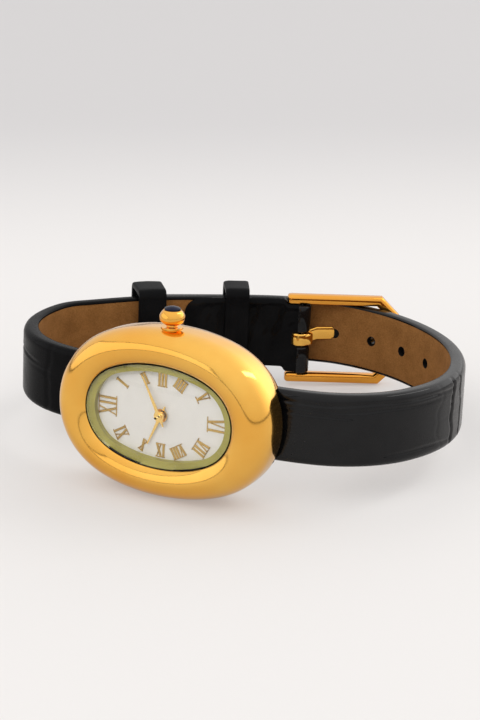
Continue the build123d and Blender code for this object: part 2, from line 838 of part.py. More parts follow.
with BuildPart() as train_bridge:
    with BuildSketch(Plane.XY.offset(bridge_bottom_z)):
        with Locations(origin_place, third_place, between_place, rotor_place, *screw_places):
            Circle(bridge_land)
        make_hull(edges())
        with Locations(origin_place, third_place, between_place, rotor_place):
            Circle(pivot_hole_radius, mode=Mode.SUBTRACT)
        with Locations(*screw_places):
            Circle(screw_shank_radius + screw_fit, mode=Mode.SUBTRACT)
    extrude(amount=bridge_top_z - bridge_bottom_z)
save(train_bridge, "train_bridge")

with BuildPart() as bridge_screws:
    with BuildSketch(Plane.XY.offset(bridge_bottom_z)):
        with Locations(*screw_places):
            Circle(screw_head_radius)
    extrude(amount=-screw_head_height)
    with BuildSketch(Plane.XY.offset(bridge_bottom_z - screw_head_height)):
        with Locations(*screw_places):
            Rectangle(2 * screw_head_radius, screw_slot)
    extrude(amount=screw_head_height / 2, mode=Mode.SUBTRACT)
    with BuildSketch(Plane.XY.offset(bridge_bottom_z)):
        with Locations(*screw_places):
            Circle(screw_shank_radius - screw_fit)
    extrude(amount=bridge_top_z - bridge_bottom_z + screw_depth - screw_fit)
save(bridge_screws, "bridge_screws")

# Motion works in front of the plate.
minute_wheel_phase = meshed(0, minute_wheel_direction, cannon_teeth, minute_wheel_teeth)
hour_wheel_phase = meshed(0, minute_wheel_direction + half_turn_angle, minute_pinion_teeth, hour_wheel_teeth)
with BuildPart() as cannon_pinion:
    gear(origin_place, cannon_teeth, 0, cannon_bottom_z, wheel_thickness)
    arbor(origin_place, cannon_bottom_z, minute_hand_z + boss_height, cannon_radius)
    with BuildSketch(Plane.XY.offset(cannon_bottom_z)):
        Circle(cannon_bore_radius)
    extrude(amount=minute_hand_z + boss_height, mode=Mode.SUBTRACT)
save(cannon_pinion, "cannon_pinion")

with BuildPart() as minute_wheel:
    gear(minute_wheel_place, minute_wheel_teeth, minute_wheel_phase, minute_wheel_z,
         wheel_thickness, minute_bore_radius)
    gear(minute_wheel_place, minute_pinion_teeth, 0, minute_wheel_z + wheel_thickness,
         hour_wheel_z - minute_wheel_z, minute_bore_radius)
save(minute_wheel, "minute_wheel")

with BuildPart() as hour_wheel:
    gear(origin_place, hour_wheel_teeth, hour_wheel_phase, hour_wheel_z, wheel_thickness)
    arbor(origin_place, hour_wheel_z, hour_hand_z + boss_height, hour_tube_radius)
    with BuildSketch(Plane.XY.offset(hour_wheel_z)):
        Circle(hour_bore_radius)
    extrude(amount=hour_hand_z + boss_height, mode=Mode.SUBTRACT)
save(hour_wheel, "hour_wheel")

with BuildPart() as hour_hand:
    with BuildSketch(Plane.XY.offset(hour_hand_z)):
        hand_outline(flange_short - hour_hand_short, hour_hand_angle, hour_boss_radius)
        Circle(hour_tube_radius, mode=Mode.SUBTRACT)
    extrude(amount=hand_thickness)
save(hour_hand, "hour_hand")

with BuildPart() as minute_hand:
    with BuildSketch(Plane.XY.offset(minute_hand_z)):
        hand_outline(flange_short - minute_hand_short, minute_hand_angle, minute_boss_radius)
    extrude(amount=hand_thickness)
    with BuildSketch(Plane.XY.offset(minute_hand_z)):
        Circle(minute_boss_radius)
    extrude(amount=boss_height)
    with BuildSketch(Plane.XY.offset(minute_hand_z)):
        Circle(cannon_radius)
    extrude(amount=boss_height, mode=Mode.SUBTRACT)
    with BuildSketch(Plane.XY.offset(minute_hand_z + boss_height)):
        Circle(cap_radius)
    extrude(amount=cap_height)
save(minute_hand, "minute_hand")

# Motor, circuit and battery behind the plate.
with BuildPart() as stator:
    with BuildSketch(Plane.XY.offset(stator_z)):
        with Locations(rotor_place):
            Rectangle(2 * stator_half, 2 * stator_half_wide)
        for side in (1, -1):
            leg_x = rotor_place[0] + side * (stator_half - stator_leg / 2)
            with Locations((leg_x, (stator_foot + core_y + core_wide / 2) / 2)):
                Rectangle(stator_leg, core_y + core_wide / 2 - stator_foot)
        with Locations(rotor_place):
            Circle(stator_hole_radius, mode=Mode.SUBTRACT)
    extrude(amount=stator_thickness)
save(stator, "stator")

with BuildPart() as coil_core:
    with BuildSketch(Plane.XY.offset(stator_z)):
        with Locations((rotor_place[0], core_y)):
            Rectangle(2 * stator_half, core_wide)
    extrude(amount=-core_thickness)
save(coil_core, "coil_core")

with BuildPart() as coil:
    with BuildSketch(Plane.YZ.offset(rotor_place[0])):
        with Locations((core_y, stator_z - core_thickness / 2)):
            RectangleRounded(2 * coil_radius, 2 * coil_radius, coil_radius / 3)
            Rectangle(core_wide + part_gap, core_thickness + part_gap, mode=Mode.SUBTRACT)
    extrude(amount=coil_length / 2, both=True)
save(coil, "coil")

with BuildPart() as circuit_board:
    with BuildSketch(Plane.XY.offset(board_z)):
        with Locations((board_x, board_y)):
            Rectangle(board_long, board_wide)
    extrude(amount=-board_thickness)
save(circuit_board, "circuit_board")

with BuildPart() as timing_chip:
    with BuildSketch(Plane.XY.offset(board_z - board_thickness)):
        with Locations((board_x, board_low + chip_rise)):
            Rectangle(chip_side, chip_side)
    extrude(amount=-chip_height)
save(timing_chip, "timing_chip")

resonator_place = (board_low + board_wide - resonator_edge, board_z - board_thickness - resonator_radius)
with BuildPart() as resonator:
    with BuildSketch(Plane.YZ.offset(board_x)):
        with Locations(resonator_place):
            Circle(resonator_radius)
    extrude(amount=resonator_length / 2, both=True)
save(resonator, "quartz_resonator")

with BuildPart() as battery:
    with BuildSketch(Plane.XY.offset(plate_bottom_z - part_gap)):
        with Locations((battery_x, battery_y)):
            Circle(battery_lip_radius)
    extrude(amount=-battery_lip)
    with BuildSketch(Plane.XY.offset(plate_bottom_z - part_gap - battery_lip)):
        with Locations((battery_x, battery_y)):
            Circle(battery_radius)
    extrude(amount=battery_lip - battery_height)
save(battery, "battery")

clamp_z = plate_bottom_z - part_gap - battery_height
clamp_left = battery_x - clamp_back
clamp_right = battery_x + battery_radius + clamp_gap + clamp_leg
with BuildPart() as battery_clamp:
    with BuildSketch(Plane.XY.offset(clamp_z)):
        with Locations(((clamp_left + clamp_right) / 2, battery_y)):
            Rectangle(clamp_right - clamp_left, clamp_wide)
    extrude(amount=-clamp_thickness)
    with BuildSketch(Plane.XY.offset(clamp_z)):
        with Locations((clamp_right - clamp_leg / 2, battery_y)):
            Rectangle(clamp_leg, clamp_wide)
    extrude(amount=plate_bottom_z - clamp_z)
save(battery_clamp, "battery_clamp")

# Stem, clutch pinion, crown and the lever that follows the stem.
with BuildPart() as winding_stem:
    with BuildSketch(Plane.XZ.offset(-stem_start)):
        with Locations((0, stem_z)):
            Circle(stem_radius)
    extrude(amount=stem_start - stem_end)
    with BuildSketch(Plane.XZ.offset(-stem_groove_y)):
        with Locations((0, stem_z)):
            Circle(2 * stem_radius)
            Circle(stem_groove_radius, mode=Mode.SUBTRACT)
    extrude(amount=stem_groove_wide / 2, both=True, mode=Mode.SUBTRACT)
save(winding_stem, "winding_stem")

with BuildPart() as clutch_pinion:
    with BuildSketch(Plane.XZ.offset(-clutch_start)):
        with Locations((0, stem_z)):
            Circle(clutch_radius)
            Circle(clutch_bore_radius, mode=Mode.SUBTRACT)
    extrude(amount=clutch_start - clutch_end)
save(clutch_pinion, "clutch_pinion")

with BuildPart() as setting_lever:
    with BuildSketch(Plane.XY.offset(lever_z)):
        with Locations((lever_arm / 2, stem_groove_y)):
            SlotCenterToCenter(lever_arm, lever_wide)
        with Locations((lever_arm, stem_groove_y)):
            Circle(lever_pivot_radius + part_gap, mode=Mode.SUBTRACT)
    extrude(amount=lever_thickness)
    with BuildSketch(Plane.XY.offset(lever_z)):
        with Locations((0, stem_groove_y)):
            Circle(lever_pin_radius)
    extrude(amount=stem_z + stem_groove_radius + 2 * lever_pin_radius - lever_z)
save(setting_lever, "setting_lever")

with BuildPart() as crown_tube:
    with BuildSketch(Plane.XZ.offset(-tube_start)):
        with Locations((0, stem_z)):
            Circle(tube_radius - part_gap / 5)
    extrude(amount=tube_start - tube_flange_end)
    with BuildSketch(Plane.XZ.offset(-tube_flange_start - part_gap)):
        with Locations((0, stem_z)):
            Circle(tube_flange_radius - part_gap)
    extrude(amount=tube_flange_start + part_gap - tube_flange_end)
    with BuildSketch(Plane.XZ.offset(-tube_start)):
        with Locations((0, stem_z)):
            Circle(tube_bore_radius)
    extrude(amount=tube_start - tube_flange_end, mode=Mode.SUBTRACT)
save(crown_tube, "crown_tube")

with BuildPart() as crown:
    with Locations((0, crown_ball_y, stem_z)):
        Sphere(crown_ball_radius)
    with BuildSketch(Plane.XZ.offset(-cabochon_y)):
        with Locations((0, stem_z)):
            Circle(2 * crown_ball_radius)
    extrude(amount=-crown_ball_radius, mode=Mode.SUBTRACT)
    with BuildSketch(Plane.XZ.offset(-crown_start + crown_ball_radius)):
        with Locations((0, stem_z)):
            Circle(2 * crown_ball_radius)
    extrude(amount=-crown_ball_radius, mode=Mode.SUBTRACT)
    with BuildSketch(Plane.XZ.offset(-cabochon_y + cabochon_rise / 2)):
        with Locations((0, stem_z)):
            Circle(cabochon_radius - 2 * part_gap)
    extrude(amount=-crown_ball_radius, mode=Mode.SUBTRACT)
    with BuildSketch(Plane.XZ.offset(-crown_start)):
        with Locations((0, stem_z)):
            Circle(crown_bore_radius)
    extrude(amount=crown_start - stem_end, mode=Mode.SUBTRACT)
    with BuildSketch(Plane.XZ.offset(-crown_start)):
        with Locations((0, stem_z)):
            Circle(crown_gasket_radius)
    extrude(amount=-gasket_groove, mode=Mode.SUBTRACT)
save(crown, "crown")

with BuildPart() as crown_gasket:
    with BuildSketch(Plane.XZ.offset(-crown_start)):
        with Locations((0, stem_z)):
            Circle(crown_gasket_radius)
            Circle(crown_gasket_radius - crown_gasket_width, mode=Mode.SUBTRACT)
    extrude(amount=-gasket_groove)
save(crown_gasket, "crown_gasket")

cabochon_base = cabochon_y - cabochon_rise / 2
cabochon_sphere = (cabochon_radius**2 + cabochon_rise**2) / (2 * cabochon_rise)
with BuildPart() as crown_cabochon:
    with BuildSketch(Plane.XZ.offset(-cabochon_base)):
        with Locations((0, stem_z)):
            Circle(cabochon_radius - 2 * part_gap)
    extrude(amount=-cabochon_rise * 2)
    with Locations((0, cabochon_y + cabochon_rise - cabochon_sphere, stem_z)):
        Sphere(cabochon_sphere, mode=Mode.INTERSECT)
save(crown_cabochon, "crown_cabochon")

# Case back: plate, plug ring and flat gasket.
with BuildPart() as case_back:
    with BuildSketch(Plane.XY.offset(back_z)):
        oval(back_oval, -part_gap)
    extrude(amount=back_plate_top_z - back_z)
    with BuildSketch(Plane.XY.offset(back_plate_top_z)):
        oval(cavity_oval, -2 * part_gap)
        RectangleRounded(plate_long + holder_fit, plate_wide + holder_fit, plate_corner, mode=Mode.SUBTRACT)
    extrude(amount=back_plug_top_z - back_plate_top_z)
save(case_back, "case_back")

with BuildPart() as back_gasket:
    with BuildSketch(Plane.XY.offset(back_plate_top_z)):
        oval(back_oval, -2 * part_gap)
    extrude(amount=back_seat_z - back_plate_top_z)
    with BuildSketch(Plane.XY.offset(back_plate_top_z)):
        oval(cavity_oval, part_gap)
    extrude(amount=back_seat_z - back_plate_top_z, mode=Mode.SUBTRACT)
save(back_gasket, "back_gasket")


# Strap bars: tube, coil at its solid length and two sprung pins each.
def bar_tube(place):
    with BuildPart() as tube:
        with BuildSketch(Plane.XZ):
            with Locations(place):
                Circle(bar_radius)
                Circle(bar_bore_radius, mode=Mode.SUBTRACT)
        extrude(amount=bar_half_length, both=True)
    return tube


def bar_spring(places):
    with BuildPart() as spring:
        with BuildSketch(Plane.XZ):
            with Locations(*places):
                Circle(spring_radius)
                Circle(spring_radius - spring_wall, mode=Mode.SUBTRACT)
        extrude(amount=spring_half_length, both=True)
    return spring


def bar_pin(place, side, tip):
    """Sprung pin on one side of a bar, its tip as far out as given."""
    with BuildPart() as pin:
        with BuildSketch(Plane.XZ.offset(-side * pin_inner_end)):
            with Locations(place):
                Circle(pin_radius)
        extrude(amount=-side * (tip - pin_inner_end))
        with BuildSketch(Plane.XZ.offset(-side * pin_flange_start)):
            with Locations(place):
                Circle(pin_flange_radius)
        extrude(amount=-side * pin_flange_wide)
    return pin


lug_pin_tip = lug_space_half + pin_reach
buckle_pin_tip = buckle_inner_half + pin_reach
buckle_bar_place = (bar_spot[0], -bar_spot[1])
for name, place in (("6", (lug_bar_x, lug_bar_z)), ("12", (-lug_bar_x, lug_bar_z))):
    save(bar_tube(place), f"lug_bar_{name}_tube")
    save(bar_pin(place, 1, lug_pin_tip), f"lug_bar_{name}_pin_upper")
    save(bar_pin(place, -1, lug_pin_tip), f"lug_bar_{name}_pin_lower")
save(bar_spring(((lug_bar_x, lug_bar_z), (-lug_bar_x, lug_bar_z))), "lug_bar_springs")
save(bar_tube(buckle_bar_place), "buckle_bar_tube")
save(bar_spring((buckle_bar_place,)), "buckle_bar_spring")
save(bar_pin(buckle_bar_place, 1, buckle_pin_tip), "buckle_bar_pin_upper")
save(bar_pin(buckle_bar_place, -1, buckle_pin_tip), "buckle_bar_pin_lower")

# Tongue path, drawn from the bar out over the rim of the buckle.
tongue_lengths = (tongue_straight, tongue_bend_radius, tongue_tip)
tongue_path = follow(bar_spot, tongue_direction, tongue_lengths, (0, -tongue_bend_angle, 0))

# Strap half on the 6 o'clock side: outer leather with the holes, and its lining.
def strap_holes():
    """Cuts the buckle holes and the passage of the tongue."""
    for k in range(first_hole, last_hole + 1):
        if k == 0:
            continue
        (x, y), heading = place_on(tail_path, tongue_hole_at - k * hole_spacing, 0)
        inward = (-sin(radians(heading)), 0, -cos(radians(heading)))
        start = (x - strap_thickness * inward[0], 0, -y - strap_thickness * inward[2])
        with BuildSketch(Plane(origin=start, x_dir=(0, 1, 0), z_dir=inward)) as hole:
            Circle(hole_radius)
        extrude(hole.sketch, amount=3 * strap_thickness, mode=Mode.SUBTRACT)
    with BuildSketch(back_plane) as passage:
        band(tongue_path, -passage_inner, passage_outer)
    extrude(passage.sketch, amount=passage_half, both=True, mode=Mode.SUBTRACT)


def pointed_tip():
    """Cuts the end of the tail to a blunt point."""
    (x, y), heading = place_on(tail_path, tail_length, 0)
    along = (cos(radians(heading)), 0, -sin(radians(heading)))
    outward = (sin(radians(heading)), 0, cos(radians(heading)))
    with BuildSketch(Plane(origin=(x, 0, -y), x_dir=along, z_dir=outward)) as corners:
        Rectangle(2 * tip_length, 4 * strap_half_width)
        with BuildLine() as point:
            Polyline((-tip_length, strap_half_width), (0, tip_half_width), (0, -tip_half_width),
                     (-tip_length, -strap_half_width), (-2 * tip_length, -strap_half_width),
                     (-2 * tip_length, strap_half_width), close=True)
        make_face(point.edges(), mode=Mode.SUBTRACT)
    extrude(corners.sketch, amount=2 * strap_thickness, both=True, mode=Mode.SUBTRACT)


with BuildPart() as tail_leather:
    with BuildSketch(back_plane):
        band(tail_path, 0, leather_thickness)
        with Locations((lug_bar_x, -lug_bar_z)):
            Circle(loop_radius)
            Circle(loop_bore_radius, mode=Mode.SUBTRACT)
    extrude(amount=2 * strap_half_width, both=True)
    taper(strap_half_width, tail_half_width_far)
    strap_holes()
    pointed_tip()
save(tail_leather, "tail_strap_leather")

with BuildPart() as tail_lining:
    with BuildSketch(back_plane):
        band(trim(tail_path, lining_start, tail_length), leather_thickness, strap_thickness)
    extrude(amount=2 * strap_half_width, both=True)
    taper(strap_half_width, tail_half_width_far)
    strap_holes()
    pointed_tip()
save(tail_lining, "tail_strap_lining")

# Strap half on the 12 o'clock side: it wraps the buckle bar and folds back inside.
flap_path = trim(tail_path, bar_at, flap_end)
flap_depth = second_depth + strap_thickness
with BuildPart() as buckle_leather:
    with BuildSketch(back_plane):
        band(buckle_path, 0, leather_thickness)
        with Locations(bar_spot):
            Circle(bar_loop_radius)
        band(flap_path, flap_depth, flap_depth + flap_thickness)
        with Locations((-lug_bar_x, -lug_bar_z)):
            Circle(loop_radius)
            Circle(loop_bore_radius, mode=Mode.SUBTRACT)
        with Locations(bar_spot):
            Circle(loop_bore_radius, mode=Mode.SUBTRACT)
    extrude(amount=2 * strap_half_width, both=True)
    taper(strap_half_width, buckle_half_width_far)
    with BuildSketch(back_plane):
        with Locations(Location((bar_spot[0], bar_spot[1], 0), (0, 0, buckle_direction))):
            Rectangle(4 * bar_loop_radius, 4 * bar_loop_radius, align=(Align.MIN, Align.CENTER))
        with Locations(bar_spot):
            Circle(tongue_eye_radius + part_gap)
    extrude(amount=tongue_slot_half, both=True, mode=Mode.SUBTRACT)
save(buckle_leather, "buckle_strap_leather")

with BuildPart() as buckle_lining:
    with BuildSketch(back_plane):
        lining_path = trim(buckle_path, lining_bar_gap, buckle_path_length - lining_start)
        band(lining_path, leather_thickness, strap_thickness)
    extrude(amount=2 * strap_half_width, both=True)
    taper(strap_half_width, buckle_half_width_far)
save(buckle_lining, "buckle_strap_lining")


# Keepers: leather loops around both halves.
def keeper(start, end):
    inner = flap_depth + flap_thickness + keeper_gap
    with BuildPart() as loop:
        with BuildSketch(back_plane):
            band(trim(tail_path, start, end), -keeper_gap - keeper_leather, inner + keeper_leather)
        extrude(amount=keeper_outer_half, both=True)
        with BuildSketch(back_plane):
            band(trim(tail_path, start - keeper_gap, end + keeper_gap), -keeper_gap, inner)
        extrude(amount=keeper_inner_half, both=True, mode=Mode.SUBTRACT)
    return loop


save(keeper(fixed_keeper_start, fixed_keeper_end), "fixed_keeper")
save(keeper(free_keeper_start, free_keeper_end), "free_keeper")

def bevelled(start, end, half, bevel):
    """Draws a rectangle whose two far corners are cut off."""
    with BuildLine() as outline:
        Polyline((start, -half), (end - bevel, -half), (end, bevel - half), (end, half - bevel),
                 (end - bevel, half), (start, half), close=True)
    return outline.edges()


# Buckle frame around the bar, open on the strap side: far corners cut off, and a rest for the tongue.
turned = radians(buckle_direction)
frame_plane = Plane(origin=(bar_spot[0], 0, -bar_spot[1]), x_dir=(cos(turned), 0, -sin(turned)),
                    z_dir=(-sin(turned), 0, -cos(turned)))
with BuildPart() as buckle_frame:
    with BuildSketch(frame_plane.offset(-buckle_inner_rise)) as frame_plan:
        make_face(bevelled(-buckle_back, buckle_reach, buckle_outer_half, buckle_bevel))
        fillet(frame_plan.vertices().group_by(Axis.X)[0], buckle_end_round)
        window = bevelled(-2 * buckle_back, buckle_reach - rim_wide, buckle_inner_half, buckle_inner_bevel)
        make_face(window, mode=Mode.SUBTRACT)
    extrude(amount=buckle_inner_rise + buckle_outer_rise)
    with BuildSketch(frame_plane.offset(tongue_rest_rise)):
        with Locations((buckle_reach, 0)):
            Rectangle(4 * rim_wide, 2 * (tongue_half_width + tongue_rest_gap))
    extrude(amount=buckle_outer_rise, mode=Mode.SUBTRACT)
    with BuildSketch(Plane.XZ):
        with Locations(buckle_bar_place):
            Circle(pin_hole_radius)
    extrude(amount=buckle_pin_tip + pin_hole_extra, both=True, mode=Mode.SUBTRACT)
save(buckle_frame, "buckle_frame")

with BuildPart() as buckle_tongue:
    with BuildSketch(back_plane):
        band(tongue_path, -tongue_thickness / 2, tongue_thickness / 2)
        with Locations(bar_spot):
            Circle(tongue_eye_radius)
            Circle(tongue_eye_bore_radius, mode=Mode.SUBTRACT)
    extrude(amount=tongue_half_width, both=True)
save(buckle_tongue, "buckle_tongue")

# Write every piece with the middle of the whole watch over the origin and its lowest point on the ground.
boxes = [piece.bounding_box() for piece in pieces.values()]
middle_x = (min(box.min.X for box in boxes) + max(box.max.X for box in boxes)) / 2
middle_y = (min(box.min.Y for box in boxes) + max(box.max.Y for box in boxes)) / 2
move = Location((-middle_x, -middle_y, -min(box.min.Z for box in boxes)))
for name, piece in pieces.items():
    placed = move * piece
    placed.label = name
    export_step(placed, f"parts/{name}.step")
print(len(pieces), "pieces written")
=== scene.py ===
# %% [markdown]
# # An oval dress watch on its side
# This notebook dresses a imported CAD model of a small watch: a domed gold-plated
# case, a white dial under glass, and a glossy embossed strap that is buckled into
# a loop. The CAD gives every place and size. Blender adds the soft leather, the
# smooth polish and the light.

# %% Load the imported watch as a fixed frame
import json
import math

import bmesh
import bpy
import numpy as np
from mathutils import Euler, Matrix, Quaternion, Vector


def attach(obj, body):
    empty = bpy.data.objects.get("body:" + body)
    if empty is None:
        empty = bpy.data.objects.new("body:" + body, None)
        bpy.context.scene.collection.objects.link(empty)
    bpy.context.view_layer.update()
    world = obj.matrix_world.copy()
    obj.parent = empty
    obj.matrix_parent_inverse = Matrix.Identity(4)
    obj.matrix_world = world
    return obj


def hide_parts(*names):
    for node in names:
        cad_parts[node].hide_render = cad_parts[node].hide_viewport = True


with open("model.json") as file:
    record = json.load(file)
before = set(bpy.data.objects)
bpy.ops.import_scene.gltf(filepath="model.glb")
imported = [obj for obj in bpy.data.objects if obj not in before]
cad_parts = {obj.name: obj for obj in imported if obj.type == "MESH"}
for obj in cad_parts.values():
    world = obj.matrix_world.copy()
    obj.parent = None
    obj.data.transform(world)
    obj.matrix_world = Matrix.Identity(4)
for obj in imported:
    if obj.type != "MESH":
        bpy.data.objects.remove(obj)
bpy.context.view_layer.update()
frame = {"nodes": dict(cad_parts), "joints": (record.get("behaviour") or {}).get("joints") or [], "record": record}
scene = bpy.context.scene

# %% [markdown]
# ## One drawing frame
# A watchmaker draws a watch with the dial facing up: X toward 6 o'clock, Y toward
# 3 o'clock, Z out of the dial, in millimetres. The watch in the frame stands on
# its side. Two joints give the way back: the hands turn about Z, and the crown
# turns about Y. So every piece below is drawn flat and then stood up by the same
# small function, and nothing has to be fitted by eye.

# %% From the flat drawing to the standing watch
MM = 0.001
turns = {joint["name"]: joint for joint in frame["joints"]}
out_of_dial = np.array(turns["minute_hand_turn"]["axis"], float)
to_three = np.array(turns["crown_turn"]["axis"], float)
to_six = np.cross(to_three, out_of_dial)
minute_hand_height = 2.0
dial_middle = np.array(turns["minute_hand_turn"]["pos_m"], float) - minute_hand_height * MM * out_of_dial


def stand(points):
    """Drawing points in millimetres to places in the frame, in metres."""
    drawn = np.asarray(points, float).reshape(-1, 3) * MM
    return dial_middle + drawn[:, :1] * to_six + drawn[:, 1:2] * to_three + drawn[:, 2:] * out_of_dial


print("dial middle at", dial_middle.round(4))

# %% [markdown]
# ## Skins made of rings
# A case, a strap, a keeper and a buckle are all long or round things, so one
# helper can make them all: it takes rings of points and spans quads between them.
# The rings may close into a loop, as for the case, or end in flat caps, as for a
# strap. Quads in rows shade smoothly, and sharp edges are marked by angle.

# %% A piece from rings of points
SHARP_ANGLE = math.radians(38)


def make_piece(name, points, faces, sharp_angle=SHARP_ANGLE):
    """A mesh object in the frame from drawing points and faces."""
    mesh = bpy.data.meshes.new(name)
    mesh.from_pydata(stand(points).tolist(), [], faces)
    shell = bmesh.new()
    shell.from_mesh(mesh)
    bmesh.ops.recalc_face_normals(shell, faces=shell.faces)
    shell.to_mesh(mesh)
    shell.free()
    mesh.shade_smooth()
    mesh.set_sharp_from_angle(angle=sharp_angle)
    piece = bpy.data.objects.new(name, mesh)
    scene.collection.objects.link(piece)
    return piece


def full_turn(count):
    """Evenly spaced angles once around."""
    return np.linspace(0, 2 * math.pi, count, endpoint=False)


def boxy(value, power):
    """A sine or cosine pushed toward one, which turns a circle into a rounded box."""
    return math.copysign(abs(value) ** power, value)


def skin(rings, closed=False):
    """Points and faces that span rings; open ends are capped."""
    rings = np.asarray(rings, float)
    count, around = rings.shape[:2]
    index = np.arange(count * around).reshape(count, around)
    faces = []
    for k in range(count if closed else count - 1):
        here, there = index[k], index[(k + 1) % count]
        faces += [(int(here[j]), int(here[j - 1]), int(there[j - 1]), int(there[j])) for j in range(around)]
    if not closed:
        faces += [tuple(int(i) for i in index[0]), tuple(int(i) for i in index[-1][::-1])]
    return rings.reshape(-1, 3), faces


def cut_away(piece, cutters):
    """Cuts several closed pieces out of one, then drops them."""
    for cutter in cutters:
        cut = piece.modifiers.new("cut", "BOOLEAN")
        cut.operation = "DIFFERENCE"
        cut.solver = "EXACT"
        cut.object = cutter
    bpy.context.view_layer.update()
    seen = piece.evaluated_get(bpy.context.evaluated_depsgraph_get())
    mesh = bpy.data.meshes.new_from_object(seen)
    piece.modifiers.clear()
    piece.data = mesh
    mesh.set_sharp_from_angle(angle=SHARP_ANGLE)
    for cutter in cutters:
        bpy.data.objects.remove(cutter)
    return piece


def rod(start, along, length, radius, sides=24):
    """A plain round cutter between two drawing points."""
    along = np.array(along, float) / np.linalg.norm(along)
    across = np.cross(along, (0.3, 0.5, 0.8))
    across /= np.linalg.norm(across)
    third = np.cross(along, across)
    turn = full_turn(sides)[:, None]
    circle = radius * (np.cos(turn) * across + np.sin(turn) * third)
    return make_piece("cutter", *skin([circle + start, circle + np.array(start) + along * length]))


def block(low, high):
    """A plain box cutter between two drawing corners."""
    (a, b, c), (d, e, f) = low, high
    ring = np.array([(a, b, c), (d, b, c), (d, e, c), (a, e, c)], float)
    return make_piece("cutter", *skin([ring, ring + (0, 0, f - c)]))


print("ready to draw")

# %% [markdown]
# ## Node groups: one effect, many materials
# Real surfaces are never one flat value. Polish carries faint smudges, leather has
# pores, suede has a nap and turned metal has fine lines. Each effect is a node
# group with named sockets, so a material only says how large and how strong.

# %% A helper that starts a node group
def start_group(name, inputs, outputs):
    """A shader node group with float inputs {name: default} and named outputs."""
    group = bpy.data.node_groups.new(name, "ShaderNodeTree")
    for label, default in inputs.items():
        socket = group.interface.new_socket(name=label, in_out="INPUT", socket_type="NodeSocketFloat")
        socket.default_value = default
    for label in outputs:
        group.interface.new_socket(name=label, in_out="OUTPUT", socket_type="NodeSocketFloat")
    return group, group.nodes.new("NodeGroupInput"), group.nodes.new("NodeGroupOutput")


def noise(tree, vector, scale, detail=4.0, roughness=0.55):
    """A noise texture read at a vector; scale may be a number or a socket."""
    node = tree.nodes.new("ShaderNodeTexNoise")
    node.inputs["Detail"].default_value = detail
    node.inputs["Roughness"].default_value = roughness
    tree.links.new(vector, node.inputs["Vector"])
    if isinstance(scale, (int, float)):
        node.inputs["Scale"].default_value = scale
    else:
        tree.links.new(scale, node.inputs["Scale"])
    return node.outputs["Fac"]


def math_node(tree, operation, first, second=0.0, third=None, clamp=False):
    """One math node; each input is a number or a socket."""
    node = tree.nodes.new("ShaderNodeMath")
    node.operation = operation
    node.use_clamp = clamp
    for socket, value in zip(node.inputs, (first, second, third)):
        if value is None:
            continue
        if isinstance(value, (int, float)):
            socket.default_value = value
        else:
            tree.links.new(value, socket)
    return node.outputs[0]


def object_place(tree, stretch=(1.0, 1.0, 1.0)):
    """Places on the object in metres, stretched along the axes."""
    place = tree.nodes.new("ShaderNodeTexCoord").outputs["Object"]
    mapping = tree.nodes.new("ShaderNodeMapping")
    mapping.inputs["Scale"].default_value = stretch
    tree.links.new(place, mapping.inputs["Vector"])
    return mapping.outputs["Vector"]


def toward(tree, place, vector):
    """How far a place or a direction lies along a vector."""
    node = tree.nodes.new("ShaderNodeVectorMath")
    node.operation = "DOT_PRODUCT"
    node.inputs[1].default_value = vector
    tree.links.new(place, node.inputs[0])
    return node.outputs["Value"]


print("node helpers ready")

# %% The groups: smudges, pores, nap and fine lines
smudges, source, sink = start_group("smudges", {"Scale": 200.0, "Amount": 0.05, "Base": 0.1}, ["Roughness"])
cloud = noise(smudges, object_place(smudges), source.outputs["Scale"], detail=6.0, roughness=0.65)
spread = math_node(smudges, "MULTIPLY", math_node(smudges, "SUBTRACT", cloud, 0.4), source.outputs["Amount"])
unevenness = math_node(smudges, "ADD", spread, source.outputs["Base"], clamp=True)
smudges.links.new(unevenness, sink.inputs["Roughness"])

pores, source, sink = start_group("pores", {"Scale": 3000.0, "Cracks": 0.5}, ["Height", "Tone"])
place = object_place(pores)
cell = pores.nodes.new("ShaderNodeTexVoronoi")
cell.feature = "DISTANCE_TO_EDGE"
pores.links.new(place, cell.inputs["Vector"])
pores.links.new(source.outputs["Scale"], cell.inputs["Scale"])
edges = math_node(pores, "MINIMUM", math_node(pores, "MULTIPLY", cell.outputs["Distance"], 3.0), 1.0)
grain = noise(pores, place, source.outputs["Scale"], detail=3.0)
mixed = math_node(pores, "MULTIPLY_ADD", edges, source.outputs["Cracks"], grain)
pores.links.new(mixed, sink.inputs["Height"])
pores.links.new(noise(pores, place, 260.0, detail=5.0), sink.inputs["Tone"])

nap, source, sink = start_group("nap", {"Scale": 6000.0}, ["Height", "Tone"])
place = object_place(nap)
fibres = noise(nap, place, source.outputs["Scale"], detail=5.0, roughness=0.75)
patches = noise(nap, place, 350.0, detail=6.0, roughness=0.7)
nap.links.new(fibres, sink.inputs["Height"])
nap.links.new(math_node(nap, "MULTIPLY_ADD", fibres, 0.6, math_node(nap, "MULTIPLY", patches, 0.4)),
              sink.inputs["Tone"])

fine_lines, source, sink = start_group("fine_lines", {"Scale": 900.0}, ["Height", "Tone"])
streaks = noise(fine_lines, object_place(fine_lines, (1.0, 12.0, 12.0)), source.outputs["Scale"], detail=6.0)
fine_lines.links.new(streaks, sink.inputs["Height"])
fine_lines.links.new(noise(fine_lines, object_place(fine_lines), 500.0), sink.inputs["Tone"])
print("groups", sorted(group.name for group in bpy.data.node_groups))

# %% [markdown]
# ## Finishes
# A finish is one Principled shader. Constant values sit on its own sockets. What
# changes over the surface comes from a group: a little roughness for polish, a
# tone and a height for leather and suede. Metals are bright and yellow, because
# gold has no colour of its own but what it reflects.

# %% A helper that builds a finish
finishes = {}


